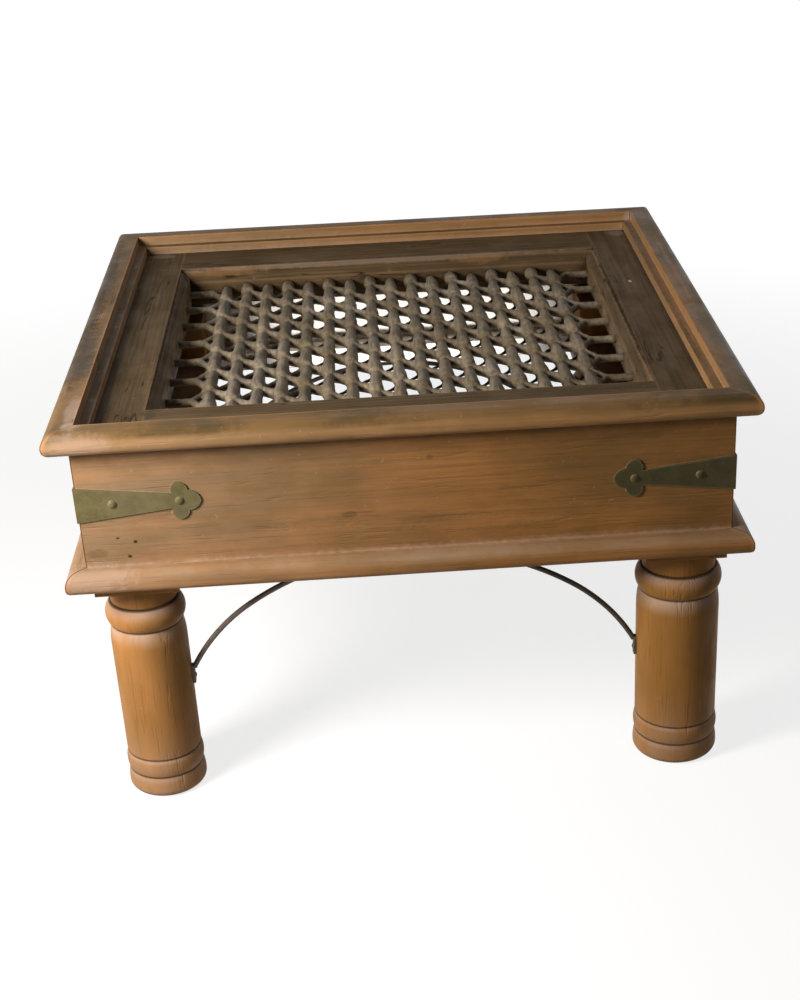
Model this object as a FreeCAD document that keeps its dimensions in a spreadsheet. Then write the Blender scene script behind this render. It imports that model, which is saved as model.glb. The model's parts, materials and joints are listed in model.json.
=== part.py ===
import FreeCAD, Part
import math
import os
import Sketcher

# Square coffee table with a carved lattice top, in millimetres.
# The origin is on the floor under the middle of the table, +Z is up and the photographed front faces -Y.

DIMENSIONS = {
    # Top moulding and the recess inside it
    "table_width": 740.0,
    "table_height": 463.0,
    "top_thick": 24.5,
    "rim_width": 31.0,
    "ledge_width": 11.0,
    "ledge_depth": 12.0,
    "recess_depth": 22.0,
    "nose_upper": 13.0,
    "nose_lower": 11.0,
    # Box under the top
    "top_overhang": 23.5,
    "apron_height": 134.5,
    "base_thick": 24.0,
    "base_overhang": 21.5,
    "base_rail": 75.0,
    "base_board": 110.0,
    "base_nose_upper": 13.0,
    "base_nose_lower": 8.0,
    "block_width": 70.0,
    "block_height": 60.0,
    "cleat_size": 20.0,
    # Turned legs, the right-hand pair a little stouter than the left
    "leg_axis": 298.0,
    "girth_left": 43.0,
    "girth_right": 47.5,
    "head_width": 90.0,
    "head_thick": 14.0,
    "neck_height": 24.0,
    "bead_height": 27.5,
    "shoulder_height": 23.5,
    "ring_height": 23.0,
    "foot_height": 27.0,
    "foot_round": 9.0,
    "foot_swell": 1.3,
    "shaft_inset": 0.7,
    "neck_inset": 6.5,
    "foot_groove": 1.0,
    "ring_groove": 1.5,
    "shoulder_groove": 3.5,
    "bead_crown": 5.0,
    "foot_curve": 60.0,
    "ring_curve": 30.0,
    "shoulder_curve": 100.0,
    "bead_curve": 20.0,
    "leg_tenon_radius": 18.0,
    "leg_tenon_length": 64.0,
    # Window frame that holds the lattice
    "frame_gap": 0.5,
    "frame_flat": 51.5,
    "rail_flat": 75.5,
    "frame_lip": 10.0,
    "lip_thick": 8.0,
    "rail_tenon_length": 38.0,
    "rail_tenon_width": 46.0,
    "rail_tenon_thick": 18.0,
    "strip_width": 11.0,
    "strip_drop": 3.0,
    "strip_bevel": 7.0,
    # Carved lattice
    "lattice_drop": 16.0,
    "lattice_thick": 22.0,
    "bar_pitch": 27.1,
    "node_step": 65.0,
    "bead_bulge": 13.0,
    "bead_waist": 8.5,
    "slant_width": 10.5,
    "layer_depth": 12.0,
    "bar_overrun": 3.0,
    # Iron bows between the legs
    "rod_radius": 3.0,
    "bow_foot": 147.0,
    "crown_radius": 330.0,
    "crown_angle": 33.0,
    "tab_thick": 3.0,
    "tab_width": 9.0,
    "tab_height": 22.0,
    # Brass corner straps, the right-hand pair set a little lower
    "strap_level_left": 376.0,
    "strap_level_right": 370.0,
    "strap_thick": 1.8,
    "strap_root": 39.6,
    "strap_neck": 17.0,
    "strap_neck_at": 99.0,
    "lobe_at": 104.5,
    "lobe_reach": 21.3,
    "lobe_round": 10.5,
    "notch_at": 116.5,
    "notch_half": 11.5,
    "tip_at": 129.5,
    "tip_round": 13.5,
    "strap_nail_near": 37.0,
    "strap_nail_far": 107.0,
    # Fasteners
    "nail_shank": 1.8,
    "strap_nail_head": 5.0,
    "strap_nail_length": 17.0,
    "bow_nail_head": 3.6,
    "bow_nail_length": 26.0,
    "peg_radius": 4.5,
    "peg_length": 40.0,
    "pin_head": 1.2,
    "pin_shank": 0.8,
    "pin_length": 22.0,
    "pin_rise": 3.0,
    "pin_spread": 180.0,
    "moulding_nail_head": 2.6,
    "moulding_nail_shank": 1.3,
    "moulding_nail_length": 45.0,
    "moulding_nail_spread": 240.0,
    "screw_head": 4.5,
    "screw_shank": 2.2,
    "base_screw_length": 55.0,
    "base_screw_spread": 180.0,
    "cleat_screw_length": 32.0,
    "cleat_screw_spread": 160.0,
}

SIDES = {"front": 0, "right": 1, "back": 2, "left": 3}
CORNERS = {"front_left": 0, "front_right": 1, "back_right": 2, "back_left": 3}
UP = FreeCAD.Vector(0, 0, 1)

# Where fasteners sit, as shares of the piece that they hold: down a bow's tab and across a frame board
TAB_NAIL_SHARE = 0.6
PEG_SHARES = (0.33, 0.67)

doc = FreeCAD.newDocument("jali_coffee_table")
sheet = doc.addObject("Spreadsheet::Sheet", "dims")
for row, (alias, value) in enumerate(DIMENSIONS.items(), start=1):
    sheet.set(f"A{row}", alias)
    sheet.set(f"B{row}", str(value))
    sheet.setAlias(f"B{row}", alias)
doc.recompute()


class Size:
    """A length that knows its value and the sheet expression that gives it."""

    def __init__(self, value, text):
        self.value = value
        self.text = text

    def __add__(self, other):
        other = size_of(other)
        return Size(self.value + other.value, f"({self.text} + {other.text})")

    def __sub__(self, other):
        other = size_of(other)
        return Size(self.value - other.value, f"({self.text} - {other.text})")

    def __rsub__(self, other):
        return size_of(other) - self

    def __mul__(self, other):
        other = size_of(other)
        return Size(self.value * other.value, f"({self.text} * {other.text})")

    def __truediv__(self, other):
        other = size_of(other)
        return Size(self.value / other.value, f"({self.text} / {other.text})")

    def __neg__(self):
        return self * -1

    __radd__ = __add__
    __rmul__ = __mul__


def size_of(value):
    """Plain numbers become sizes too, so that both can be mixed."""
    return value if isinstance(value, Size) else Size(float(value), f"({value})")


def cell(alias):
    return Size(float(sheet.get(alias)), f"dims.{alias}")


def bind(item, prop, size):
    item.setExpression(prop, size_of(size).text)


def turned(x, y, quarters):
    """A plan position after quarter turns about the table's centre line."""
    for _ in range(quarters):
        x, y = -y, x
    return x, y


def place(item, x, y, z, quarters=0):
    """Turn a piece about the vertical and bind its place to the sheet."""
    item.Placement = FreeCAD.Placement(FreeCAD.Vector(), FreeCAD.Rotation(UP, 90 * quarters))
    for axis, size in zip("xyz", (x, y, z)):
        bind(item, f"Placement.Base.{axis}", size)


def block(name, length, width, height, x, y, z, quarters=0):
    """Box with its low corner at x, y, z, then turned about the table's centre line."""
    box = doc.addObject("Part::Box", name)
    bind(box, "Length", length)
    bind(box, "Width", width)
    bind(box, "Height", height)
    place(box, *turned(x, y, quarters), z, quarters)
    return box


def group(name, items):
    gathered = doc.addObject("Part::Compound", name)
    gathered.Links = items
    return gathered


def fuse(name, items):
    joined = doc.addObject("Part::MultiFuse", name)
    joined.Shapes = items
    return joined


def cut(name, base, tool):
    piece = doc.addObject("Part::Cut", name)
    piece.Base = base
    piece.Tool = tool
    return piece


def arc_between(start, end, radius):
    """Arc under a half circle that runs anticlockwise from start to end."""
    chord = end - start
    offset = math.sqrt(radius ** 2 - (chord.Length / 2) ** 2)
    left = FreeCAD.Vector(-chord.y, chord.x, 0).normalize()
    centre = (start + end) / 2 + left * offset
    first = math.atan2(start.y - centre.y, start.x - centre.x)
    last = math.atan2(end.y - centre.y, end.x - centre.x)
    return Part.ArcOfCircle(Part.Circle(centre, UP, radius), first, last)


def hold(sketch, edge, axis, size):
    """Fix the end of an edge at a distance from the sketch origin, along one sketch axis."""
    if size.value == 0:
        zero_line = -2 if axis == "X" else -1
        sketch.addConstraint(Sketcher.Constraint("PointOnObject", edge, 2, zero_line))
        return
    number = sketch.addConstraint(Sketcher.Constraint(f"Distance{axis}", -1, 1, edge, 2, size.value))
    bind(sketch, f"Constraints[{number}]", size)


def outline(body, name, role, points):
    """Closed sketch on an origin plane. A point with a third value is reached by an arc of that radius."""
    sketch = body.newObject("Sketcher::SketchObject", name)
    plane = next(item for item in body.Origin.OriginFeatures if item.Role == role)
    sketch.AttachmentSupport = [(plane, "")]
    sketch.MapMode = "FlatFace"
    corners = [(size_of(point[0]), size_of(point[1])) for point in points]
    spots = [FreeCAD.Vector(x.value, y.value, 0) for x, y in corners]
    for edge, point in enumerate(points):
        if len(point) == 3:
            sketch.addGeometry(arc_between(spots[edge - 1], spots[edge], size_of(point[2]).value))
        else:
            sketch.addGeometry(Part.LineSegment(spots[edge - 1], spots[edge]))
    for edge, point in enumerate(points):
        sketch.addConstraint(Sketcher.Constraint("Coincident", edge, 2, (edge + 1) % len(points), 1))
        hold(sketch, edge, "X", corners[edge][0])
        hold(sketch, edge, "Y", corners[edge][1])
        if len(point) == 3:
            radius = size_of(point[2])
            number = sketch.addConstraint(Sketcher.Constraint("Radius", edge, radius.value))
            bind(sketch, f"Constraints[{number}]", radius)
    return sketch


def pad(body, sketch, length, side_type="One side", backwards=False):
    feature = body.newObject("PartDesign::Pad", f"{sketch.Name}_pad")
    feature.Profile = sketch
    bind(feature, "Length", length)
    feature.SideType = side_type
    feature.Reversed = backwards
    return feature


def pocket_up(body, sketch):
    """Cut upward through the whole body from a sketch on its floor plane."""
    feature = body.newObject("PartDesign::Pocket", f"{sketch.Name}_pocket")
    feature.Profile = sketch
    feature.Type = "ThroughAll"
    feature.Reversed = True
    return feature


def mitred_side(name, section, reach, z, quarters, excess=0):
    """One side of a mitred frame: the front section drawn out, cut at 45 degrees and turned into place.

    In an oblong frame, excess is how far the side's half length goes past its distance from the middle.
    """
    body = doc.addObject("PartDesign::Body", name)
    pad(body, outline(body, f"{name}_section", "YZ_Plane", section), 2 * reach, side_type="Symmetric")
    for hand, label in ((1, "right"), (-1, "left")):
        far = hand * (2 * reach + excess)
        wedge = [(hand * excess, 0), (far, -2 * reach), (far, 0)]
        pocket_up(body, outline(body, f"{name}_mitre_{label}", "XY_Plane", wedge))
    place(body, 0, 0, z, quarters)
    return body


def turned_pin(profile):
    """Solid of revolution about Z from half-profile points of radius and height."""
    spots = [FreeCAD.Vector(radius, 0, height) for radius, height in profile]
    return Part.Face(Part.makePolygon(spots + spots[:1])).revolve(FreeCAD.Vector(), UP, 360)


def domed_nail(kind):
    """Nail with a low domed head that stands on the surface at its origin."""
    head, length = cell(f"{kind}_head").value, cell(f"{kind}_length").value
    shank = cell("nail_shank").value
    height = head / 2
    ball = (head ** 2 + height ** 2) / (2 * height)
    dome = Part.makeSphere(ball, FreeCAD.Vector(0, 0, height - ball))
    cap = dome.common(Part.makeCylinder(head, height))
    return cap.fuse(Part.makeCylinder(shank, length, FreeCAD.Vector(0, 0, -length))).removeSplitter()


def sunk_pin(head_cell, shank_cell, length_cell):
    """Pin or screw whose cone head is flush with the surface at its origin."""
    head, shank, length = (cell(alias).value for alias in (head_cell, shank_cell, length_cell))
    return turned_pin([(0, 0), (head, 0), (shank, shank - head), (shank, -length), (0, -length)])


def fastener_group(name, pin, spots):
    """Copies of one fastener, each at a point with its head facing outward, as one node."""
    solids = []
    for point, outward in spots:
        copy = pin.copy()
        turn = FreeCAD.Rotation(UP, FreeCAD.Vector(*outward))
        copy.Placement = FreeCAD.Placement(FreeCAD.Vector(*point), turn)
        solids.append(copy)
    node = doc.addObject("Part::Feature", name)
    node.Shape = Part.makeCompound(solids)
    return node


def three_across(alias):
    """Places for three fasteners along one side, one of them in the middle."""
    return [share * cell(alias).value for share in (-1, 0, 1)]


def around(points, outward, sides=tuple(SIDES)):
    """Repeat spots of the front side on the sides named."""
    spots = []
    for quarters in (SIDES[side] for side in sides):
        direction = (*turned(*outward[:2], quarters), outward[2])
        spots += [((*turned(x, y, quarters), z), direction) for x, y, z in points]
    return spots


# Plan sizes, as distances from the centre lines
half_width = cell("table_width") / 2
rim_inner = half_width - cell("rim_width")
ledge_inner = rim_inner - cell("ledge_width")
apron_outer = half_width - cell("top_overhang")
apron_thick = apron_outer - ledge_inner
base_outer = apron_outer + cell("base_overhang")
base_inner = base_outer - cell("base_rail")
frame_outer = ledge_inner - cell("frame_gap")
frame_inner = frame_outer - cell("frame_flat")
rail_inner = frame_outer - cell("rail_flat")
opening = frame_inner - cell("strip_width")
opening_depth = rail_inner - cell("strip_width")
leg_axis = cell("leg_axis")

# Levels above the floor
top_level = cell("table_height") - cell("top_thick")
apron_level = top_level - cell("apron_height")
base_level = apron_level - cell("base_thick")
panel_level = cell("table_height") - cell("recess_depth")
lattice_level = panel_level - cell("lattice_drop") - cell("lattice_thick")
frame_level = lattice_level - cell("lip_thick")
cleat_level = frame_level - cell("cleat_size")
ledge_level = cell("table_height") - cell("ledge_depth")

# Which pair each corner belongs to: the left and right legs and straps differ
HAND = {"front_left": "left", "back_left": "left", "front_right": "right", "back_right": "right"}


def leg_blank(name, girth, x, y):
    """Turned post with a thin square head and a round tenon."""
    body = doc.addObject("PartDesign::Body", name)
    foot_top = cell("foot_height")
    ring_top = foot_top + cell("ring_height")
    head_bottom = base_level - cell("head_thick")
    bead_top = head_bottom - cell("neck_height")
    bead_bottom = bead_top - cell("bead_height")
    shoulder = bead_bottom - cell("shoulder_height")
    foot_radius = girth + cell("foot_swell")
    shaft_radius = girth - cell("shaft_inset")
    neck_radius = girth - cell("neck_inset")
    tenon_top = base_level + cell("leg_tenon_length")
    profile = [
        (0, 0),
        (foot_radius - cell("foot_round"), 0),
        (foot_radius, cell("foot_round"), cell("foot_round")),
        (girth - cell("foot_groove"), foot_top, cell("foot_curve")),
        (girth - cell("ring_groove"), ring_top, cell("ring_curve")),
        (shaft_radius, ring_top + cell("ring_groove")),
        (shaft_radius, shoulder),
        (girth - cell("shoulder_groove"), bead_bottom, cell("shoulder_curve")),
        (girth - cell("bead_crown"), bead_top, cell("bead_curve")),
        (neck_radius, bead_top),
        (neck_radius, base_level),
        (cell("leg_tenon_radius"), base_level),
        (cell("leg_tenon_radius"), tenon_top),
        (0, tenon_top),
    ]
    turning = body.newObject("PartDesign::Revolution", f"{name}_turning")
    half_section = outline(body, f"{name}_profile", "XZ_Plane", profile)
    turning.Profile = half_section
    turning.ReferenceAxis = (half_section, ["V_Axis"])
    turning.Angle = 360
    half = cell("head_width") / 2
    square = [(-half, -half), (half, -half), (half, half), (-half, half)]
    head = outline(body, f"{name}_head", "XY_Plane", square)
    bind(head, "AttachmentOffset.Base.z", head_bottom)
    pad(body, head, cell("head_thick"))
    place(body, x, y, 0)
    return body


def rod_arc(name, radius, x, z, first, last, quarters):
    """Bent rod in the plane of the leg axes; its angles are counted from upright to the right."""
    arc = doc.addObject("Part::Torus", name)
    bind(arc, "Radius1", radius)
    bind(arc, "Radius2", cell("rod_radius"))
    arc.Angle3 = last - first
    upright = FreeCAD.Rotation(FreeCAD.Vector(1, 0, 0), 90) * FreeCAD.Rotation(UP, 90 - last)
    arc.Placement = FreeCAD.Placement(FreeCAD.Vector(), FreeCAD.Rotation(UP, 90 * quarters) * upright)
    for axis, size in zip("xyz", (*turned(size_of(x), -leg_axis, quarters), z)):
        bind(arc, f"Placement.Base.{axis}", size)
    return arc


def bow_blank(name, left_face, right_face, quarters):
    """Rod bent in three arcs between two leg faces, with both ends flattened into upright tabs."""
    rod, tab_thick, tab_width = cell("rod_radius"), cell("tab_thick"), cell("tab_width")
    crown_radius, crown_angle = cell("crown_radius"), cell("crown_angle").value
    lean = math.radians(crown_angle)
    half_span = (right_face + left_face) / 2 - rod
    middle = (right_face - left_face) / 2
    centre = base_level - rod - crown_radius
    run = half_span.value - crown_radius.value * math.sin(lean)
    drop = centre.value + crown_radius.value * math.cos(lean) - cell("bow_foot").value
    end_angle = 2 * math.degrees(math.atan2(drop, run)) - crown_angle
    haunch_radius = math.hypot(run, drop) / (2 * math.sin(math.radians(end_angle - crown_angle) / 2))
    aside = (crown_radius - haunch_radius) * math.sin(lean)
    haunch_z = centre + (crown_radius - haunch_radius) * math.cos(lean)
    left_x, right_x = middle - aside, middle + aside
    rods = [
        rod_arc(f"{name}_crown", crown_radius, middle, centre, -crown_angle, crown_angle, quarters),
        rod_arc(f"{name}_left", haunch_radius, left_x, haunch_z, -end_angle, -crown_angle, quarters),
        rod_arc(f"{name}_right", haunch_radius, right_x, haunch_z, crown_angle, end_angle, quarters),
    ]
    tab_y = -leg_axis - tab_width / 2
    tab_z = cell("bow_foot") + rod - cell("tab_height")
    tabs = [
        block(f"{name}_tab_{label}", tab_thick, tab_width, cell("tab_height"), x, tab_y, tab_z, quarters)
        for label, x in (("left", -left_face), ("right", right_face - tab_thick))
    ]
    return fuse(f"{name}_blank", rods + tabs)


def strap_blank(name, level, quarters):
    """Sheet folded round a box corner, each arm tapering to a leaf-shaped end."""
    thick, neck = cell("strap_thick"), cell("strap_neck") / 2
    lobe = cell("lobe_round")
    lower = [
        (cell("strap_neck_at"), -neck),
        (cell("lobe_at"), -cell("lobe_reach"), lobe),
        (cell("notch_at"), -cell("notch_half"), lobe),
    ]
    upper = [
        (cell("notch_at"), cell("notch_half"), cell("tip_round")),
        (cell("lobe_at"), cell("lobe_reach"), lobe),
        (cell("strap_neck_at"), neck, lobe),
    ]
    root = cell("strap_root") / 2
    arm = [(-thick, -root), *lower, (cell("tip_at"), 0, cell("tip_round")), *upper, (-thick, root)]
    body = doc.addObject("PartDesign::Body", name)
    pad(body, outline(body, f"{name}_front_arm", "XZ_Plane", arm), thick)
    pad(body, outline(body, f"{name}_side_arm", "YZ_Plane", arm), thick, backwards=True)
    place(body, *turned(-apron_outer, -apron_outer, quarters), level, quarters)
    return body


def beaded_bar(x, nodes, tail):
    """Plan face of a straight bar: long beads centred on the nodes, waisted between them."""
    half_step = cell("node_step").value / 2
    bulge, waist = cell("bead_bulge").value / 2, cell("bead_waist").value / 2
    edges = []
    ends = []
    for hand in (1, -1):
        for node in nodes:
            low = FreeCAD.Vector(x + hand * waist, node - half_step, 0)
            middle = FreeCAD.Vector(x + hand * bulge, node, 0)
            high = FreeCAD.Vector(x + hand * waist, node + half_step, 0)
            edges.append(Part.Arc(low, middle, high).toShape())
        low = FreeCAD.Vector(x + hand * waist, nodes[0] - half_step, 0)
        high = FreeCAD.Vector(x + hand * waist, nodes[-1] + half_step, 0)
        reach = FreeCAD.Vector(0, tail, 0)
        if tail:
            edges += [Part.makeLine(low - reach, low), Part.makeLine(high, high + reach)]
        ends.append((low - reach, high + reach))
    edges += [Part.makeLine(ends[0][0], ends[1][0]), Part.makeLine(ends[0][1], ends[1][1])]
    return Part.Face(Part.Wire(Part.__sortEdges__(edges)))


def plain_bar(start, end):
    """Plan face of a plain bar of one width, running a little past both of its end points."""
    along = (end - start).normalize()
    across = FreeCAD.Vector(-along.y, along.x, 0) * (cell("slant_width").value / 2)
    overrun = along * cell("bar_overrun").value
    first, last = start - overrun, end + overrun
    corners = [first - across, last - across, last + across, first + across]
    return Part.Face(Part.makePolygon(corners + corners[:1]))


def lattice_shape():
    """Carved board: straight beaded bars over two crossing slants, side stubs and a plain border."""
    pitch, step = cell("bar_pitch").value, cell("node_step").value
    thick, layer = cell("lattice_thick").value, cell("layer_depth").value
    inner, outer = opening.value, frame_inner.value
    inner_depth, outer_depth = opening_depth.value, rail_inner.value
    last_bar = int((inner - step / 2) / pitch)
    rows = 1 + int(2 * inner_depth / step)
    middle_layer = (thick - layer) / 2

    def nodes_on(bar, spare=0):
        count = rows + spare - (bar + 1) % 2
        return [step * (index - (count - 1) / 2) for index in range(count)]

    def slants(lean):
        """Unbroken runs of nodes that step one bar across and half a step along, on into the border."""
        bars = range(-last_bar - 1, last_bar + 2)
        spots = {(bar, round(lean * y, 3)) for bar in bars for y in nodes_on(bar, spare=2)}
        for bar, y in sorted(spots):
            if (bar - 1, round(y - step / 2, 3)) in spots:
                continue
            length = 0
            while (bar + length + 1, round(y + (length + 1) * step / 2, 3)) in spots:
                length += 1
            if length:
                start = FreeCAD.Vector(bar * pitch, lean * y, 0)
                end = FreeCAD.Vector((bar + length) * pitch, lean * (y + length * step / 2), 0)
                yield start, end

    board = Part.makeBox(2 * outer, 2 * outer_depth, thick, FreeCAD.Vector(-outer, -outer_depth, 0))
    window = Part.makeBox(2 * inner, 2 * inner_depth, thick, FreeCAD.Vector(-inner, -inner_depth, 0))
    solids = []
    for bar in range(-last_bar, last_bar + 1):
        nodes = nodes_on(bar)
        tail = max(0, inner_depth + cell("bar_overrun").value - nodes[-1] - step / 2)
        solids.append((beaded_bar(bar * pitch, nodes, tail), thick - layer))
    for lean, floor in ((-1, middle_layer), (1, 0)):
        for start, end in slants(lean):
            solids.append((plain_bar(start, end), floor))
    fork = (last_bar + 1) * pitch
    for y in nodes_on(last_bar + 1):
        for hand in (-1, 1):
            ends = FreeCAD.Vector(hand * fork, y, 0), FreeCAD.Vector(hand * inner, y, 0)
            solids.append((plain_bar(*ends), middle_layer))
    bars = []
    for face, floor in solids:
        face.translate(FreeCAD.Vector(0, 0, floor))
        bars.append(face.extrude(FreeCAD.Vector(0, 0, layer)).common(board))
    return board.cut(window).multiFuse(bars).removeSplitter()


# Fasteners, driven from the surfaces that they hold
apron_mid = (apron_outer - apron_thick / 2).value
strap_face = (apron_outer + cell("strap_thick")).value
strap_spots = []
for corner, quarters in CORNERS.items():
    level = cell(f"strap_level_{HAND[corner]}").value
    for alias in ("strap_nail_near", "strap_nail_far"):
        along = cell(alias).value - apron_outer.value
        strap_spots.append(((*turned(along, -strap_face, quarters), level), (*turned(0, -1, quarters), 0)))
        strap_spots.append(((*turned(-strap_face, along, quarters), level), (*turned(-1, 0, quarters), 0)))
strap_nails = fastener_group("strap_nails", domed_nail("strap_nail"), strap_spots)

# Each bow runs from one leg face to the next: left and right end as seen from outside the table
LEG_FACE = {hand: leg_axis - cell(f"girth_{hand}") + cell("shaft_inset") for hand in ("left", "right")}
BOW_ENDS = {
    "front": ("left", "right"),
    "right": ("right", "right"),
    "back": ("right", "left"),
    "left": ("left", "left"),
}
bow_nail_level = (cell("bow_foot") + cell("rod_radius") - cell("tab_height") * TAB_NAIL_SHARE).value
bow_spots = []
for side, (left_hand, right_hand) in BOW_ENDS.items():
    for hand, face in ((1, LEG_FACE[left_hand]), (-1, LEG_FACE[right_hand])):
        quarters = SIDES[side]
        spot = turned(-hand * (face - cell("tab_thick")).value, -leg_axis.value, quarters)
        bow_spots.append(((*spot, bow_nail_level), (*turned(hand, 0, quarters), 0)))
bow_nails = fastener_group("bow_nails", domed_nail("bow_nail"), bow_spots)

peg = Part.makeCylinder(cell("peg_radius").value, cell("peg_length").value)
peg_x = (frame_inner + cell("rail_tenon_length") / 2).value
peg_rows = [(rail_inner + cell("rail_flat") * share).value for share in PEG_SHARES]
peg_spots = [((hand * peg_x, end * y, frame_level.value), (0, 0, 1))
             for hand in (-1, 1) for end in (-1, 1) for y in peg_rows]
frame_pegs = fastener_group("frame_pegs", peg, peg_spots)

moulding_y = -((ledge_inner + rim_inner) / 2).value
moulding_points = [(x, moulding_y, ledge_level.value) for x in three_across("moulding_nail_spread")]
moulding_nail = sunk_pin("moulding_nail_head", "moulding_nail_shank", "moulding_nail_length")
moulding_nails = fastener_group("moulding_nails", moulding_nail, around(moulding_points, (0, 0, 1)))

base_points = [(x, -apron_mid, base_level.value) for x in three_across("base_screw_spread")]
base_screw = sunk_pin("screw_head", "screw_shank", "base_screw_length")
base_screws = fastener_group("base_screws", base_screw, around(base_points, (0, 0, -1)))

cleat_face = -(ledge_inner - cell("cleat_size")).value
cleat_middle = (cleat_level + cell("cleat_size") / 2).value
cleat_points = [(hand * cell("cleat_screw_spread").value, cleat_face, cleat_middle) for hand in (-1, 1)]
cleat_screw = sunk_pin("screw_head", "screw_shank", "cleat_screw_length")
cleat_screws = fastener_group("cleat_screws", cleat_screw, around(cleat_points, (0, 1, 0)))

pin_level = (lattice_level + cell("lattice_thick") + cell("pin_rise")).value
pin_spots = []
for sides, edge in ((("front", "back"), opening_depth), (("right", "left"), opening)):
    pin_points = [(x, -edge.value, pin_level) for x in three_across("pin_spread")]
    pin_spots += around(pin_points, (0, 1, 0), sides)
bead_pin = sunk_pin("pin_head", "pin_shank", "pin_length")
bead_pins = fastener_group("bead_pins", bead_pin, pin_spots)

pieces = [strap_nails, bow_nails, frame_pegs, moulding_nails, base_screws, cleat_screws, bead_pins]

# Legs, with holes where the bow nails go in
legs = []
for corner, quarters in CORNERS.items():
    x, y = turned(-leg_axis, -leg_axis, quarters)
    blank = leg_blank(f"leg_{corner}_blank", cell(f"girth_{HAND[corner]}"), x, y)
    legs.append(cut(f"leg_{corner}", blank, bow_nails))
all_legs = group("all_legs", legs)
pieces += legs

# Bows and corner straps
for side, (left_hand, right_hand) in BOW_ENDS.items():
    blank = bow_blank(f"bow_{side}", LEG_FACE[left_hand], LEG_FACE[right_hand], SIDES[side])
    pieces.append(cut(f"bow_{side}", blank, bow_nails))
for corner, quarters in CORNERS.items():
    blank = strap_blank(f"corner_strap_{corner}_blank", cell(f"strap_level_{HAND[corner]}"), quarters)
    pieces.append(cut(f"corner_strap_{corner}", blank, strap_nails))

# Top moulding: round nose outside, rebate inside for a loose sheet
top_thick = cell("top_thick")
ledge_height = top_thick - cell("ledge_depth")
top_section = [
    (-ledge_inner, 0),
    (-ledge_inner, ledge_height),
    (-rim_inner, ledge_height),
    (-rim_inner, top_thick),
    (cell("nose_upper") - half_width, top_thick),
    (-half_width, top_thick - cell("nose_upper"), cell("nose_upper")),
    (-half_width, cell("nose_lower")),
    (cell("nose_lower") - half_width, 0, cell("nose_lower")),
]
for side, quarters in SIDES.items():
    blank = mitred_side(f"top_moulding_{side}_blank", top_section, half_width, top_level, quarters)
    pieces.append(cut(f"top_moulding_{side}", blank, moulding_nails))

# Aprons: the front and back boards cover the ends of the side boards
apron_fasteners = group("apron_fasteners", [strap_nails, moulding_nails, base_screws, cleat_screws])
for side, quarters in SIDES.items():
    reach = apron_outer if quarters % 2 == 0 else ledge_inner
    blank = block(f"apron_{side}_blank", 2 * reach, apron_thick, cell("apron_height"),
                  -reach, -apron_outer, apron_level, quarters)
    pieces.append(cut(f"apron_{side}", blank, apron_fasteners))

# Base frame: flat boards that the box stands on, bored for the leg tenons; the noses meet in mitres, and
# the side boards are wider inside, where they butt against the front and back boards
base_thick = cell("base_thick")
base_widening = cell("base_board") - cell("base_rail")
base_section = [
    (-base_inner, 0),
    (-base_inner, base_thick),
    (cell("base_nose_upper") - base_outer, base_thick),
    (-base_outer, base_thick - cell("base_nose_upper"), cell("base_nose_upper")),
    (-base_outer, cell("base_nose_lower")),
    (cell("base_nose_lower") - base_outer, 0, cell("base_nose_lower")),
]
base_cutters = group("base_cutters", [base_screws, all_legs])
for side, quarters in SIDES.items():
    blank = mitred_side(f"base_frame_{side}_blank", base_section, base_outer, base_level, quarters)
    if quarters % 2:
        strip = block(f"base_frame_{side}_strip", 2 * base_inner, base_widening, base_thick,
                      -base_inner, -base_inner, base_level, quarters)
        blank = fuse(f"base_frame_{side}_wide", [blank, strip])
    pieces.append(cut(f"base_frame_{side}", blank, base_cutters))

# Corner blocks inside the box, bored for the leg tenons
block_width = cell("block_width")
for corner, quarters in CORNERS.items():
    blank = block(f"corner_block_{corner}_blank", block_width, block_width, cell("block_height"),
                  -ledge_inner, -ledge_inner, apron_level, quarters)
    pieces.append(cut(f"corner_block_{corner}", blank, all_legs))

# Cleats inside the aprons, under the window
cleat = cell("cleat_size")
for side, quarters in SIDES.items():
    reach = ledge_inner if quarters % 2 == 0 else ledge_inner - cleat
    blank = block(f"cleat_{side}_blank", 2 * reach, cleat, cleat,
                  -reach, -ledge_inner, cleat_level, quarters)
    pieces.append(cut(f"cleat_{side}", blank, cleat_screws))

# Window frame: rails with tenons first, then stiles with matching mortises
frame_thick = panel_level - frame_level
flat, rail_flat = cell("frame_flat"), cell("rail_flat")
lip, lip_thick = cell("frame_lip"), cell("lip_thick")
tenon_width, tenon_thick = cell("rail_tenon_width"), cell("rail_tenon_thick")
tenon_reach = frame_inner + cell("rail_tenon_length")
frame_fasteners = group("frame_fasteners", [frame_pegs, bead_pins])
rails = []
for side in ("front", "back"):
    quarters = SIDES[side]
    name = f"window_rail_{side}"
    board = block(f"{name}_board", 2 * frame_inner, rail_flat, frame_thick,
                  -frame_inner, -frame_outer, frame_level, quarters)
    lip_reach = frame_inner - lip
    ledge = block(f"{name}_lip", 2 * lip_reach, lip, lip_thick,
                  -lip_reach, -rail_inner, frame_level, quarters)
    tenon_y = -frame_outer + (rail_flat - tenon_width) / 2
    tenon_z = frame_level + (frame_thick - tenon_thick) / 2
    tenons = block(f"{name}_tenons", 2 * tenon_reach, tenon_width, tenon_thick,
                   -tenon_reach, tenon_y, tenon_z, quarters)
    rails.append(cut(name, fuse(f"{name}_blank", [board, ledge, tenons]), frame_fasteners))
stile_cutters = group("stile_cutters", [frame_fasteners, *rails])
stiles = []
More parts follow.
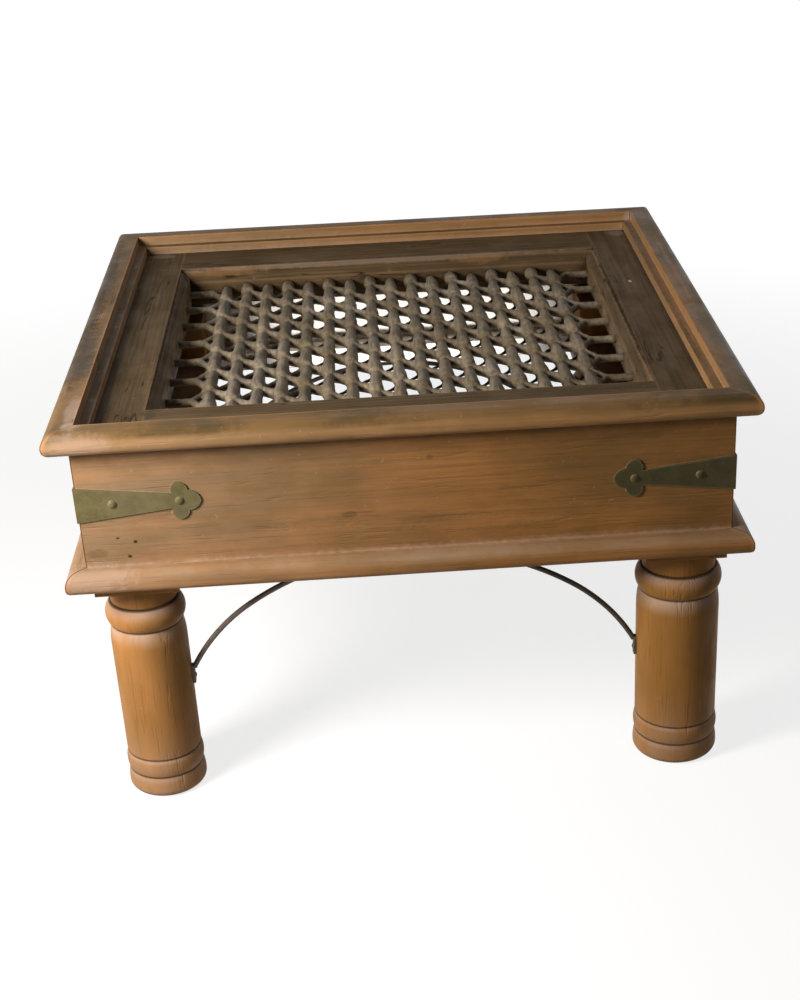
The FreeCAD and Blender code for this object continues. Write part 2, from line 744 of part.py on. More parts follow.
for side in ("left", "right"):
    quarters = SIDES[side]
    name = f"window_stile_{side}"
    board = block(f"{name}_board", 2 * frame_outer, flat, frame_thick,
                  -frame_outer, -frame_outer, frame_level, quarters)
    ledge = block(f"{name}_lip", 2 * rail_inner, lip, lip_thick,
                  -rail_inner, -frame_inner, frame_level, quarters)
    stiles.append(cut(name, fuse(f"{name}_blank", [board, ledge]), stile_cutters))
pieces += rails + stiles

# Bevelled strips that hold the lattice down in the frame
strip_height = cell("lattice_drop") - cell("strip_drop")
strip_level = lattice_level + cell("lattice_thick")
for side, quarters in SIDES.items():
    away, reach = (frame_inner, rail_inner) if quarters % 2 else (rail_inner, frame_inner)
    edge = away - cell("strip_width")
    strip_section = [
        (-edge, 0),
        (-edge, strip_height - cell("strip_bevel")),
        (-away, strip_height),
        (-away, 0),
    ]
    name = f"lattice_bead_{side}"
    blank = mitred_side(f"{name}_blank", strip_section, reach, strip_level, quarters, reach - away)
    pieces.append(cut(name, blank, bead_pins))

# Lattice board, lying on the lips of the frame
lattice = doc.addObject("Part::Feature", "jali_lattice")
lattice.Shape = lattice_shape()
place(lattice, 0, 0, lattice_level)
pieces.append(lattice)

doc.recompute()

# Every object must have worked, every cut must have cut, and every piece must be sound
for item in doc.Objects:
    if {"Invalid", "Error"} & set(item.State):
        raise RuntimeError(f"{item.Label} failed: {item.State}")
    if item.TypeId == "PartDesign::Pocket" and item.Shape.Volume > item.BaseFeature.Shape.Volume - 1:
        raise RuntimeError(f"{item.Label} cut nothing")
for piece in pieces:
    if piece.Shape.isNull() or not piece.Shape.isValid():
        raise RuntimeError(f"{piece.Label} has no sound shape")

os.makedirs("parts", exist_ok=True)
for piece in pieces:
    piece.Shape.exportStep(f"parts/{piece.Label}.step")
    print(piece.Label, len(piece.Shape.Solids), round(piece.Shape.Volume / 1000, 1))
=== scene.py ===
# %% [markdown]
# # An old coffee table with a carved lattice top
# The table is a shallow wooden box on four turned legs. A carved lattice (a jali) lies in a window in the
# top, brass straps hold the corners and bent iron rods brace the legs. The measured model is loaded first
# and stays as it is. Everything below only dresses it: worn edges, carving, finishes, light and a camera.

# %% Load the measured table
import json
import math

import bpy
from mathutils import Matrix, Vector

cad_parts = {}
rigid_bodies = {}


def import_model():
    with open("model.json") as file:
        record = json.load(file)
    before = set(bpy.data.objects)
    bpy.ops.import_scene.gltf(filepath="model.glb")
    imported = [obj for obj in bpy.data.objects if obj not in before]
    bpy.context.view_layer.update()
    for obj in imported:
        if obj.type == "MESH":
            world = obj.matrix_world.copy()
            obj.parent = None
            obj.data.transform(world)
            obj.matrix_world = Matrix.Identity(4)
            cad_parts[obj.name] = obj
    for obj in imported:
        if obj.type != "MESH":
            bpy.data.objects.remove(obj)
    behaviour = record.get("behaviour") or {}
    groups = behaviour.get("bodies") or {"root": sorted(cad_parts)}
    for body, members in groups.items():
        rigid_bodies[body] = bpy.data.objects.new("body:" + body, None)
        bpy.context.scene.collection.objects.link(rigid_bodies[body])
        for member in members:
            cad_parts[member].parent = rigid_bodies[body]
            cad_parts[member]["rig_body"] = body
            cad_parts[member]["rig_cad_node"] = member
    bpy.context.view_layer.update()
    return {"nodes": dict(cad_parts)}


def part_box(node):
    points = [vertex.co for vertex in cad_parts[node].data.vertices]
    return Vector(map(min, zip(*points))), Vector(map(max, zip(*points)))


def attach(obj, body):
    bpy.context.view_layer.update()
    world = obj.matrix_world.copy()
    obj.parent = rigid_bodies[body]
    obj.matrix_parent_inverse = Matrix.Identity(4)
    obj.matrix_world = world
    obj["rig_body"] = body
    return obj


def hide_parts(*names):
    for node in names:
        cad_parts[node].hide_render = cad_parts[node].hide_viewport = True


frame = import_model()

scene = bpy.context.scene

# %% [markdown]
# ## The camera
# The picture was taken from a little above the table, almost straight in front, and cropped off centre.
# A camera that is turned to look at the table would bend the upright lines, so the camera keeps the
# picture's own tilt, and the lens is shifted to where the crop sits.

# %% Camera
CAMERA_PLACE = (-0.0275, -1.9978, 1.1193)
CAMERA_TURN = 0.0558
CAMERA_DIP = 0.5004
CAMERA_ROLL = -0.0373
LENS = 61.79
LENS_SHIFT = (-0.0751, 0.1164)

camera_data = bpy.data.cameras.new("camera")
camera_data.lens = LENS
camera_data.shift_x, camera_data.shift_y = LENS_SHIFT
camera = bpy.data.objects.new("camera", camera_data)
scene.collection.objects.link(camera)
facing = Matrix.Rotation(-CAMERA_TURN, 4, "Z") @ Matrix.Rotation(math.pi / 2 - CAMERA_DIP, 4, "X")
camera.matrix_world = Matrix.Translation(CAMERA_PLACE) @ facing @ Matrix.Rotation(CAMERA_ROLL, 4, "Z")
scene.camera = camera
scene.view_settings.view_transform = "Standard"
print("camera at", CAMERA_PLACE, "lens", LENS)

# %% [markdown]
# ## Nodes in short words
# A material is a chain of nodes. These helpers each place one node and hand back its result, so that a
# finish further down reads like a recipe. An input takes either another node's result or a plain value.


# %% Helpers: values and coordinates
def feed(tree, socket, value):
    """Links a result to a socket, or writes a plain value into it."""
    if isinstance(value, bpy.types.NodeSocket):
        tree.links.new(value, socket)
    else:
        socket.default_value = value


def stretch(tree, vector, scale, turn=(0, 0, 0), shift=(0, 0, 0)):
    """Coordinates scaled, turned and shifted."""
    node = tree.nodes.new("ShaderNodeMapping")
    feed(tree, node.inputs["Vector"], vector)
    node.inputs["Location"].default_value = shift
    node.inputs["Rotation"].default_value = turn
    node.inputs["Scale"].default_value = scale
    return node.outputs["Vector"]


def axes_of(tree, vector):
    """The X, Y and Z of a vector."""
    node = tree.nodes.new("ShaderNodeSeparateXYZ")
    feed(tree, node.inputs["Vector"], vector)
    return node.outputs


def length_of(tree, vector):
    """How long a vector is."""
    node = tree.nodes.new("ShaderNodeVectorMath")
    node.operation = "LENGTH"
    feed(tree, node.inputs[0], vector)
    return node.outputs["Value"]


def sums(tree, kind, *values):
    """One step of arithmetic."""
    node = tree.nodes.new("ShaderNodeMath")
    node.operation = kind
    for socket, value in zip(node.inputs, values):
        feed(tree, socket, value)
    return node.outputs["Value"]


def times(tree, first, *others):
    """Masks multiplied together."""
    for other in others:
        first = sums(tree, "MULTIPLY", first, other)
    return first


# %% Helpers: noise, steps and colour
def cloud(tree, vector, scale=1.0, detail=4.0, rough=0.55, twist=0.0):
    """Soft noise from 0 to 1."""
    node = tree.nodes.new("ShaderNodeTexNoise")
    feed(tree, node.inputs["Vector"], vector)
    for name, value in (("Scale", scale), ("Detail", detail), ("Roughness", rough), ("Distortion", twist)):
        node.inputs[name].default_value = value
    return node.outputs["Fac"]


def level(tree, value, low, high, start=0.0, end=1.0):
    """A smooth step: start below low, end above high."""
    node = tree.nodes.new("ShaderNodeMapRange")
    node.interpolation_type = "SMOOTHSTEP"
    feed(tree, node.inputs["Value"], value)
    for name, number in (("From Min", low), ("From Max", high), ("To Min", start), ("To Max", end)):
        feed(tree, node.inputs[name], number)
    return node.outputs["Result"]


def paint(tree, under, over, *masks):
    """One colour laid over another where every mask is white."""
    node = tree.nodes.new("ShaderNodeMix")
    node.data_type = "RGBA"
    feed(tree, node.inputs["Factor"], times(tree, *masks))
    feed(tree, node.inputs[6], under)
    feed(tree, node.inputs[7], over)
    return node.outputs[2]


def relief(tree, shader, height, strength, depth):
    """Bumps on a surface from a height."""
    bump = tree.nodes.new("ShaderNodeBump")
    bump.inputs["Strength"].default_value = strength
    bump.inputs["Distance"].default_value = depth
    feed(tree, bump.inputs["Height"], height)
    feed(tree, shader.inputs["Normal"], bump.outputs["Normal"])


# %% Helpers: groups and materials
def new_group(name, inputs, outputs):
    """An empty node group with named sockets: returns its tree, its input node and its output node."""
    tree = bpy.data.node_groups.new(name, "ShaderNodeTree")
    for label, kind in inputs:
        tree.interface.new_socket(label, in_out="INPUT", socket_type="NodeSocket" + kind)
    for label in outputs:
        tree.interface.new_socket(label, in_out="OUTPUT", socket_type="NodeSocketFloat")
    return tree, tree.nodes.new("NodeGroupInput").outputs, tree.nodes.new("NodeGroupOutput").inputs


def use_group(tree, group, **inputs):
    """A node group placed in a material: returns the node's outputs."""
    node = tree.nodes.new("ShaderNodeGroup")
    node.node_tree = group
    for label, value in inputs.items():
        feed(tree, node.inputs[label], value)
    return node.outputs


def new_material(name):
    """A material with its shader: returns it with its tree, its shader and the object's own coordinates."""
    material = bpy.data.materials.new(name)
    material.use_nodes = True
    tree = material.node_tree
    place = tree.nodes.new("ShaderNodeTexCoord").outputs["Object"]
    return material, tree, tree.nodes["Principled BSDF"], place


# %% [markdown]
# ## Floor and light
# The table stands on a plain pale floor. A floor that really is white would light the table from below. So
# its material adds a glow only for rays that come from the camera or from a reflection, and the table's
# soft shadow stays. The glow is weakest under the table, where the shadow lies, and grows to full white
# further out.

# %% Floor
FLOOR_SIZE = 60.0
FLOOR_BOUNCE = (0.46, 0.45, 0.44, 1.0)
FLOOR_SHADE = (0.30, 0.30, 0.30, 1.0)
GLOW_NEAR, GLOW_FAR = 0.80, 1.0
SHADOW_REACH, WHITE_REACH = 0.6, 2.2


def seen_directly(tree):
    """White for rays from the camera, from mirror-like surfaces and through clear ones."""
    path = tree.nodes.new("ShaderNodeLightPath").outputs
    camera_or_mirror = sums(tree, "MAXIMUM", path["Is Camera Ray"], path["Is Glossy Ray"])
    return sums(tree, "MAXIMUM", camera_or_mirror, path["Is Transmission Ray"])


def either_or(tree, mask, first, second, target):
    """Two shaders, the second one where the mask is white, fed to an output node."""
    mix = tree.nodes.new("ShaderNodeMixShader")
    feed(tree, mix.inputs["Fac"], mask)
    feed(tree, mix.inputs[1], first)
    feed(tree, mix.inputs[2], second)
    feed(tree, tree.nodes[target].inputs["Surface"], mix.outputs["Shader"])


bpy.ops.object.select_all(action="DESELECT")
bpy.ops.mesh.primitive_plane_add(size=FLOOR_SIZE)
floor = bpy.context.object
floor.name = "floor"

pale, tree, shader, place = new_material("pale_floor")
tree.nodes.remove(shader)
bounce = tree.nodes.new("ShaderNodeBsdfDiffuse")
bounce.inputs["Color"].default_value = FLOOR_BOUNCE
shade = tree.nodes.new("ShaderNodeBsdfDiffuse")
shade.inputs["Color"].default_value = FLOOR_SHADE
glow = tree.nodes.new("ShaderNodeEmission")
away = length_of(tree, place)
feed(tree, glow.inputs["Strength"], level(tree, away, SHADOW_REACH, WHITE_REACH, GLOW_NEAR, GLOW_FAR))
shown = tree.nodes.new("ShaderNodeAddShader")
feed(tree, shown.inputs[0], glow.outputs["Emission"])
feed(tree, shown.inputs[1], shade.outputs["BSDF"])
either_or(tree, seen_directly(tree), bounce.outputs["BSDF"], shown.outputs["Shader"], "Material Output")
floor.data.materials.append(pale)
print("floor", FLOOR_SIZE, "m")

# %% Surroundings
SKY_LIGHT = (0.92, 0.95, 1.0, 1.0)
SKY_STRENGTH = 0.05
WHITE = (1.0, 1.0, 1.0, 1.0)

world = bpy.data.worlds.new("studio")
world.use_nodes = True
tree = world.node_tree
sky = tree.nodes["Background"]
sky.inputs["Color"].default_value = SKY_LIGHT
sky.inputs["Strength"].default_value = SKY_STRENGTH
white = tree.nodes.new("ShaderNodeBackground")
white.inputs["Color"].default_value = WHITE
either_or(tree, seen_directly(tree), sky.outputs["Background"], white.outputs["Background"], "World Output")
scene.world = world
print("sky", SKY_STRENGTH)

# %% [markdown]
# The picture is lit from one side, as by a window: the left is bright, the right falls off, and the left
# side of the recess lies in its own shadow. One soft lamp stands low and near at the front left. A weak
# one overhead models the carving, and another, far behind on the right, stands for the rest of the room.

# %% Window, ceiling and room light
# Each lamp: name, place, target, size, power and colour
LAMPS = (
    ("window_light", (-0.86, -0.80, 0.86), (-0.05, 0.0, 0.30), 0.40, 21.0, (1.0, 0.95, 0.89)),
    ("ceiling_light", (0.35, 0.30, 1.75), (0.05, 0.0, 0.40), 0.90, 1.2, (1.0, 0.97, 0.93)),
    ("room_light", (2.3, 1.9, 1.1), (0.0, 0.0, 0.30), 1.60, 5.5, (0.95, 0.97, 1.0)),
)


def hang(lamp_data, spot, target):
    """Hangs a lamp at a spot, aims it at a target and hides it from the camera."""
    lamp = bpy.data.objects.new(lamp_data.name, lamp_data)
    scene.collection.objects.link(lamp)
    lamp.visible_camera = False
    aim = Vector(target) - Vector(spot)
    lamp.matrix_world = Matrix.Translation(spot) @ aim.to_track_quat("-Z", "Y").to_matrix().to_4x4()
    return lamp


for name, spot, target, size, power, colour in LAMPS:
    lamp_data = bpy.data.lights.new(name, "AREA")
    lamp_data.shape = "DISK"
    lamp_data.size = size
    lamp_data.energy = power
    lamp_data.color = colour
    hang(lamp_data, spot, target)
    print(name, "at", spot, "power", power)

# %% [markdown]
# ## Plank grain
# Old hardwood boards show several things at once: wide growth rings, fine fibres, short dark pores and, in
# dry boards, long cracks. A picture of a plank could be laid on, but it would stretch or repeat. All of
# these are noise stretched along the board, so one group makes them from coordinates whose X runs with the
# grain, and each wood picks its own colours. A crack is the thin line where a slow noise crosses its middle
# value, broken up by a second noise.

# %% Group: plank grain
RING_STRETCH = (0.9, 11.0, 11.0)
RING_WAVES = 16.0
FIBRE_STRETCH = (6.0, 230.0, 230.0)
PORE_STRETCH = (16.0, 480.0, 480.0)
PORE_STEP = (0.60, 0.72)
CRACK_STRETCH = (2.2, 34.0, 34.0)
CRACK_WIDTH = 0.016
CRACK_DEPTH = 2.0
BREAK_SCALE = 14.0
BREAK_STEP = (0.50, 0.60)
GRAIN_OUTPUTS = ("Rings", "Fibre", "Pores", "Cracks", "Height")

plank_grain, given, made = new_group("plank grain", [("Vector", "Vector")], GRAIN_OUTPUTS)
along = given["Vector"]
warp = cloud(plank_grain, stretch(plank_grain, along, RING_STRETCH), detail=2.0, twist=0.4)
wave = sums(plank_grain, "SINE", times(plank_grain, warp, RING_WAVES * math.pi))
rings = sums(plank_grain, "MULTIPLY_ADD", wave, 0.5, 0.5)
fibre = cloud(plank_grain, stretch(plank_grain, along, FIBRE_STRETCH), detail=5.0, rough=0.6)
speckle = cloud(plank_grain, stretch(plank_grain, along, PORE_STRETCH), detail=2.0)
pores = level(plank_grain, speckle, *PORE_STEP)
slow = cloud(plank_grain, stretch(plank_grain, along, CRACK_STRETCH), detail=3.0, rough=0.6)
off_middle = sums(plank_grain, "ABSOLUTE", sums(plank_grain, "SUBTRACT", slow, 0.5))
line = level(plank_grain, off_middle, 0.0, CRACK_WIDTH, 1.0, 0.0)
broken = level(plank_grain, cloud(plank_grain, along, scale=BREAK_SCALE, detail=3.0), *BREAK_STEP)
cracks = times(plank_grain, line, broken)
hollows = sums(plank_grain, "MULTIPLY_ADD", cracks, CRACK_DEPTH, pores)
height = sums(plank_grain, "SUBTRACT", fibre, hollows)
for label, result in zip(GRAIN_OUTPUTS, (rings, fibre, pores, cracks, height)):
    feed(plank_grain, made[label], result)
print("group", plank_grain.name, len(plank_grain.nodes), "nodes")

# %% [markdown]
# ## Wear and dust
# Hands rub the finish off the edges, and dust settles where no cloth reaches. Both could be painted by hand
# on every board, but ambient occlusion finds the places by itself: short rays into the wood come out again
# near a sharp edge, and short rays out of it meet wood again in corners and grooves. What faces up gathers
# dust too, and fine scratches run slantwise over everything.
# Besides dust and wear, the corner mask also paints shade into corners and hollows, and the edge mask
# paints highlights on edges.

# %% Group: wear and dust
SPREAD_SCALE, SPREAD_BASE = 24.0, 0.35
EDGE_STEP = (0.16, 0.46)
FLECK_SCALE, FLECK_BASE = 140.0, 0.4
CORNER_STEP = (0.20, 0.58)
PATCH_SCALE, PATCH_STEP = 9.0, (0.42, 0.66)
UPWARD_STEP = (0.05, 0.75)
SCRATCH_TURN = (0.35, 0.55, 0.75)
SCRATCH_STRETCH = (9.0, 240.0, 240.0)
SCRATCH_STEP = (0.69, 0.76)
WEAR_INPUTS = (("Vector", "Vector"), ("Edge reach", "Float"), ("Corner reach", "Float"))
WEAR_OUTPUTS = ("Edge", "Corner", "Patch", "Upward", "Scratch")


def closed_in(tree, reach, inside):
    """The share of short rays that meet a face: rays into the wood when inside, else rays out of it."""
    node = tree.nodes.new("ShaderNodeAmbientOcclusion")
    node.inside = inside
    node.only_local = inside
    feed(tree, node.inputs["Distance"], reach)
    return sums(tree, "SUBTRACT", 1.0, node.outputs["AO"])


wear_and_dust, given, made = new_group("wear and dust", WEAR_INPUTS, WEAR_OUTPUTS)
where = given["Vector"]
spread = cloud(wear_and_dust, where, scale=SPREAD_SCALE, detail=6.0, rough=0.65)
spread = sums(wear_and_dust, "ADD", spread, SPREAD_BASE)
thin = closed_in(wear_and_dust, given["Edge reach"], True)
edge = level(wear_and_dust, times(wear_and_dust, thin, spread), *EDGE_STEP)
fleck = cloud(wear_and_dust, where, scale=FLECK_SCALE, detail=4.0, rough=0.6)
fleck = sums(wear_and_dust, "ADD", fleck, FLECK_BASE)
deep = closed_in(wear_and_dust, given["Corner reach"], False)
corner = level(wear_and_dust, times(wear_and_dust, deep, fleck), *CORNER_STEP)
patch = cloud(wear_and_dust, where, scale=PATCH_SCALE, detail=6.0, rough=0.65)
patch = level(wear_and_dust, patch, *PATCH_STEP)
normal = wear_and_dust.nodes.new("ShaderNodeNewGeometry").outputs["Normal"]
upward = level(wear_and_dust, axes_of(wear_and_dust, normal)["Z"], *UPWARD_STEP)
slanted = stretch(wear_and_dust, stretch(wear_and_dust, where, (1, 1, 1), SCRATCH_TURN), SCRATCH_STRETCH)
scratch = level(wear_and_dust, cloud(wear_and_dust, slanted, detail=2.0, twist=0.3), *SCRATCH_STEP)
for label, result in zip(WEAR_OUTPUTS, (edge, corner, patch, upward, scratch)):
    feed(wear_and_dust, made[label], result)
print("group", wear_and_dust.name, len(wear_and_dust.nodes), "nodes")

# %% [markdown]
# ## The woods
# Every board has the same build-up: bare wood with its grain, an uneven brown finish over it, a dull film
# on what faces up, rubbed edges where the bare wood shows again, also painted as highlights, and dust in
# the corners of some boards, dark grime with painted shade in those of others. The left end, nearest the
# lamp, is painted paler as a sheen, and inside the box the front and back boards were never finished. On
# the carving, the low strands and the hollows are painted dark as shade. Each board could have a material
# of its own, but only the colours, the grain's direction and the strength of the layers change, so one
# recipe mixes them all.

# %% Wood recipe: colours and habits
GRAIN_TURN = {
    "X": (0.0, 0.0, 0.0),
    "Y": (0.0, 0.0, math.pi / 2),
    "Z": (0.0, math.pi / 2, 0.0),
}
PORE_COLOUR = (0.03, 0.016, 0.007, 1)
CRACK_COLOUR = (0.012, 0.008, 0.005, 1)
RAW_WOOD = (0.88, 0.84, 0.77, 1)
# How strong each layer is, where a wood doesn't say otherwise
HABITS = dict(
    stain_share=0.5, film_share=0.5, film_low=0.6, mottled=0.25, fibres=0.35, edge_wear_and_highlight=0.7, edge_reach=0.005,
    scratches=0.25, cracks=0.0, sheen_left=0.0, marks=(), depth_shade=None, raw_inside="", grime_and_shade=0.0, corner_dust_and_shade=0.6,
    corner_reach=0.022, top_dust=0.0, floor_dust=0.0, grooves=(), mitre=0.0, rough=0.5, shine=0.12)
print("habits of a wood:", ", ".join(HABITS))

# %% Wood recipe: what the layers are mixed by
SEED_SHIFT = (1.0, 0.7, 0.3)
BLOTCHES = {
    "Streak": dict(size=(3.0, 34, 34), detail=6.0, rough=0.65, step=(0.40, 0.68)),
    "Broad": dict(size=(3.2, 9, 9), detail=5.0, rough=0.6, step=(0.38, 0.64)),
    "Mottle": dict(size=(16, 30, 30), detail=5.0, rough=0.6, step=(0.3, 0.7)),
}


def blotches(tree, along, size, detail, rough, step):
    """Noise stretched along the grain and hardened into blotches."""
    noise = cloud(tree, stretch(tree, along, size), detail=detail, rough=rough)
    return level(tree, noise, *step)


def masks_of(tree, place, axis, seed, has):
    """Grain, wear, blotches and the place on the table, each by its name."""
    along = stretch(tree, place, (1, 1, 1), GRAIN_TURN[axis], tuple(seed * share for share in SEED_SHIFT))
    reaches = {"Edge reach": has["edge_reach"], "Corner reach": has["corner_reach"]}
    grain = use_group(tree, plank_grain, Vector=along)
    age = use_group(tree, wear_and_dust, Vector=place, **reaches)
    masks = {socket.name: socket for found in (grain, age, axes_of(tree, place)) for socket in found}
    masks["Place"] = place
    for name in "XY":
        masks["Out " + name] = sums(tree, "ABSOLUTE", masks[name])
    masks["Figure"] = times(tree, sums(tree, "ADD", masks["Rings"], masks["Fibre"]), 0.5)
    for name, settings in BLOTCHES.items():
        masks[name] = blotches(tree, along, **settings)
    return masks


# %% Wood recipe: finish and wear
FIGURE_STEP, FIGURE_SHARE = (0.15, 0.85), (0.15, 0.75)
STREAK_SHARE = 0.5
STRAND_STEP = (0.42, 0.62)
PORE_SHARE = 0.22
# Painted sheen at the left end, nearest the lamp: where it is full, where it ends, and how weak it gets in
# patches
SHEEN_LEFT, SHEEN_RIGHT = -0.36, 0.16
SHEEN_LOW = 0.7


def finish_layers(tree, masks, has):
    """Bare wood with its grain under an uneven brown finish and a dull film: returns the colour."""
    bare, stain = has["bare"], has["stain"]
    wood = paint(tree, has["body"], bare, level(tree, masks["Figure"], *FIGURE_STEP, *FIGURE_SHARE))
    wood = paint(tree, wood, bare, masks["Streak"], STREAK_SHARE)
    wood = paint(tree, wood, stain, masks["Broad"], has["stain_share"])
    clinging = level(tree, masks["Patch"], 0.0, 1.0, has["film_low"], 1.0)
    wood = paint(tree, wood, has["film"], masks["Upward"], clinging, has["film_share"])
    wood = paint(tree, wood, stain, masks["Mottle"], has["mottled"])
    wood = paint(tree, wood, stain, level(tree, masks["Fibre"], *STRAND_STEP), has["fibres"])
    return paint(tree, wood, PORE_COLOUR, masks["Pores"], PORE_SHARE)


def wear_layers(tree, masks, has, wood):
    """A painted sheen at the left end, rubbed edges partly painted as highlights, scratches and cracks:
    returns the colour.
    """
    towards_lamp = level(tree, masks["X"], SHEEN_LEFT, SHEEN_RIGHT, 1.0, 0.0)
    upright = sums(tree, "SUBTRACT", 1.0, masks["Upward"])
    uneven = level(tree, masks["Mottle"], 0.0, 1.0, 1.0, SHEEN_LOW)
    # Painted sheen: upright faces towards the lamp on the left are painted paler in the dust colour.
    wood = paint(tree, wood, has["dust"], towards_lamp, upright, uneven, has["sheen_left"])
    # Rubbed edges in the bare colour: partly real wear, partly a painted highlight where edges catch the
    # light.
    wood = paint(tree, wood, has["bare"], masks["Edge"], has["edge_wear_and_highlight"])
    wood = paint(tree, wood, has["dust"], masks["Scratch"], has["scratches"])
    return paint(tree, wood, CRACK_COLOUR, masks["Cracks"], has["cracks"])


# %% Wood recipe: single marks
MARK_NOISE = 90.0
MARK_RAGGED = 2.0
MARK_STEP = (0.5, 1.2)


def mark(tree, place, centre, size):
    """White in an egg of the given half sizes round one spot, with a ragged edge."""
    shift = tuple(-middle / half for middle, half in zip(centre, size))
    away = length_of(tree, stretch(tree, place, tuple(1 / half for half in size), shift=shift))
    noise = cloud(tree, place, scale=MARK_NOISE, detail=7.0, rough=0.75)
    torn = sums(tree, "MULTIPLY_ADD", noise, MARK_RAGGED, -MARK_RAGGED / 2)
    return level(tree, sums(tree, "ADD", away, torn), *MARK_STEP, 1.0, 0.0)


def mark_layers(tree, masks, has, wood):
    """Holes, scars and stains one by one: returns the colour and where the wood is hollow."""
    hollow = times(tree, masks["Cracks"], has["cracks"])
    for colour, centre, size, strength in has["marks"]:
        scar = mark(tree, masks["Place"], centre, size)
        wood = paint(tree, wood, colour, scar, strength)
        hollow = sums(tree, "MAXIMUM", hollow, scar)
    return wood, hollow


# %% Wood recipe: dust, grime and dark lines
TOP_DUST_LOW, SIDE_DUST_LOW = 0.55, 0.45
FLOOR_DUST_HEIGHTS = (0.01, 0.11)
GROOVE_LINE, GROOVE_SHARE = (0.0003, 0.0022), 0.85
MITRE_LINE = (0.0004, 0.0016)


def dust_layers(tree, masks, has, wood):
    """Dark grime with painted shade, then dust, in corners, and dust on top, by the floor and under
    grooves; a near-black dust paints shade: returns colour and dust.
    """
    # Partly grime, partly painted shade: corners and creases are painted dark.
    wood = paint(tree, wood, PORE_COLOUR, masks["Corner"], has["grime_and_shade"])
    patchy = level(tree, masks["Patch"], 0.0, 1.0, TOP_DUST_LOW, 1.0)
    dust = times(tree, masks["Upward"], patchy, has["top_dust"])
    uneven = level(tree, masks["Mottle"], 0.0, 1.0, SIDE_DUST_LOW, 1.0)
    near_floor = level(tree, masks["Z"], *FLOOR_DUST_HEIGHTS, has["floor_dust"], 0.0)
    dust = sums(tree, "MAXIMUM", dust, times(tree, near_floor, uneven))
    for groove, reach, share in has["grooves"]:
        thicker = level(tree, masks["Z"], groove - reach, groove, 0.0, share)
        below = sums(tree, "LESS_THAN", masks["Z"], groove)
        dust = sums(tree, "MAXIMUM", dust, times(tree, thicker, uneven, below))
    # Corners take the dust colour: dust on most woods, painted shade on the carving, whose dust colour is
    # near black.
    dust = sums(tree, "MAXIMUM", times(tree, masks["Corner"], has["corner_dust_and_shade"]), dust)
    return paint(tree, wood, has["dust"], dust), dust


def dark_lines(tree, masks, has, wood):
    """Dark lines in the grooves of a turned leg and along mitred joints: returns the colour."""
    for groove, *_ in has["grooves"]:
        aside = sums(tree, "ABSOLUTE", sums(tree, "SUBTRACT", masks["Z"], groove))
        wood = paint(tree, wood, PORE_COLOUR, level(tree, aside, *GROOVE_LINE, GROOVE_SHARE, 0.0))
    aside = sums(tree, "ABSOLUTE", sums(tree, "SUBTRACT", masks["Out X"], masks["Out Y"]))
    return paint(tree, wood, CRACK_COLOUR, level(tree, aside, *MITRE_LINE, has["mitre"], 0.0))


# %% Wood recipe: all layers
BOX_INSIDE = 0.3295
BASE_BOTTOM = 0.2805
RAW_FIGURE = 0.1
# How strong the painted shade on the carving's low strands is
DEPTH_SHADE_SHARE = 0.4
ROUGH_BELOW, ROUGH_ABOVE = 0.06, 0.12
WOOD_RELIEF = (0.35, 0.0007)


def inside_box(tree, masks):
    """White inside the apron boards, black on their outer faces and under the base."""
    reach = sums(tree, "MAXIMUM", masks["Out X"], masks["Out Y"])
    above = sums(tree, "GREATER_THAN", masks["Z"], BASE_BOTTOM)
    return times(tree, sums(tree, "LESS_THAN", reach, BOX_INSIDE), above)


def old_wood(name, axis, seed, **habits):
    """All layers of one wood, with the grain along one axis: returns the material."""
    has = {**HABITS, **habits}
    material, tree, shader, place = new_material(name)
    masks = masks_of(tree, place, axis, seed, has)
    wood = wear_layers(tree, masks, has, finish_layers(tree, masks, has))
    wood, hollow = mark_layers(tree, masks, has, wood)
    # Painted shade: the wood is painted darker below a height, where the carving's low strands lie in
    # shade.
    if has["depth_shade"]:
        wood = paint(tree, wood, PORE_COLOUR, level(tree, masks["Z"], *has["depth_shade"], DEPTH_SHADE_SHARE, 0.0))
    if axis in has["raw_inside"]:
        raw = paint(tree, RAW_WOOD, has["bare"], masks["Figure"], RAW_FIGURE)
        wood = paint(tree, wood, raw, inside_box(tree, masks))
    wood, dust = dust_layers(tree, masks, has, wood)
    feed(tree, shader.inputs["Base Color"], dark_lines(tree, masks, has, wood))
    smooth, dull = has["rough"] - ROUGH_BELOW, has["rough"] + ROUGH_ABOVE
    rough = level(tree, masks["Mottle"], 0.0, 1.0, smooth, dull)
    feed(tree, shader.inputs["Roughness"], sums(tree, "MAXIMUM", rough, dust))
    shader.inputs["Specular IOR Level"].default_value = has["shine"]
    surface = sums(tree, "ADD", masks["Height"], masks["Mottle"])
    relief(tree, shader, sums(tree, "SUBTRACT", surface, hollow), *WOOD_RELIEF)
    return material


# %% [markdown]
# ## The marks of this table
# An old table is known by its single marks: nail holes and scars in the front board, rubbed and grimy
# stretches of the rim, dust that stays in the corners, and dark lines where the frame's boards meet. They
# could be painted on a picture, but each is one spot of colour, so a list says where it lies and how large
# and how strong it is.
# One pale strip along the back bead is not a mark but a painted highlight.

# %% Single marks, board by board
HOLE, SCAR, RUBBED = (0.015, 0.008, 0.004, 1), (0.07, 0.042, 0.018, 1), (0.36, 0.18, 0.07, 1)
PALE_DUST, CHIP = (0.52, 0.39, 0.34, 1), (0.75, 0.72, 0.66, 1)
GRIME, PAINTED_HIGHLIGHT = (0.03, 0.02, 0.012, 1), (0.27, 0.20, 0.14, 1)
FRONT = -0.3465
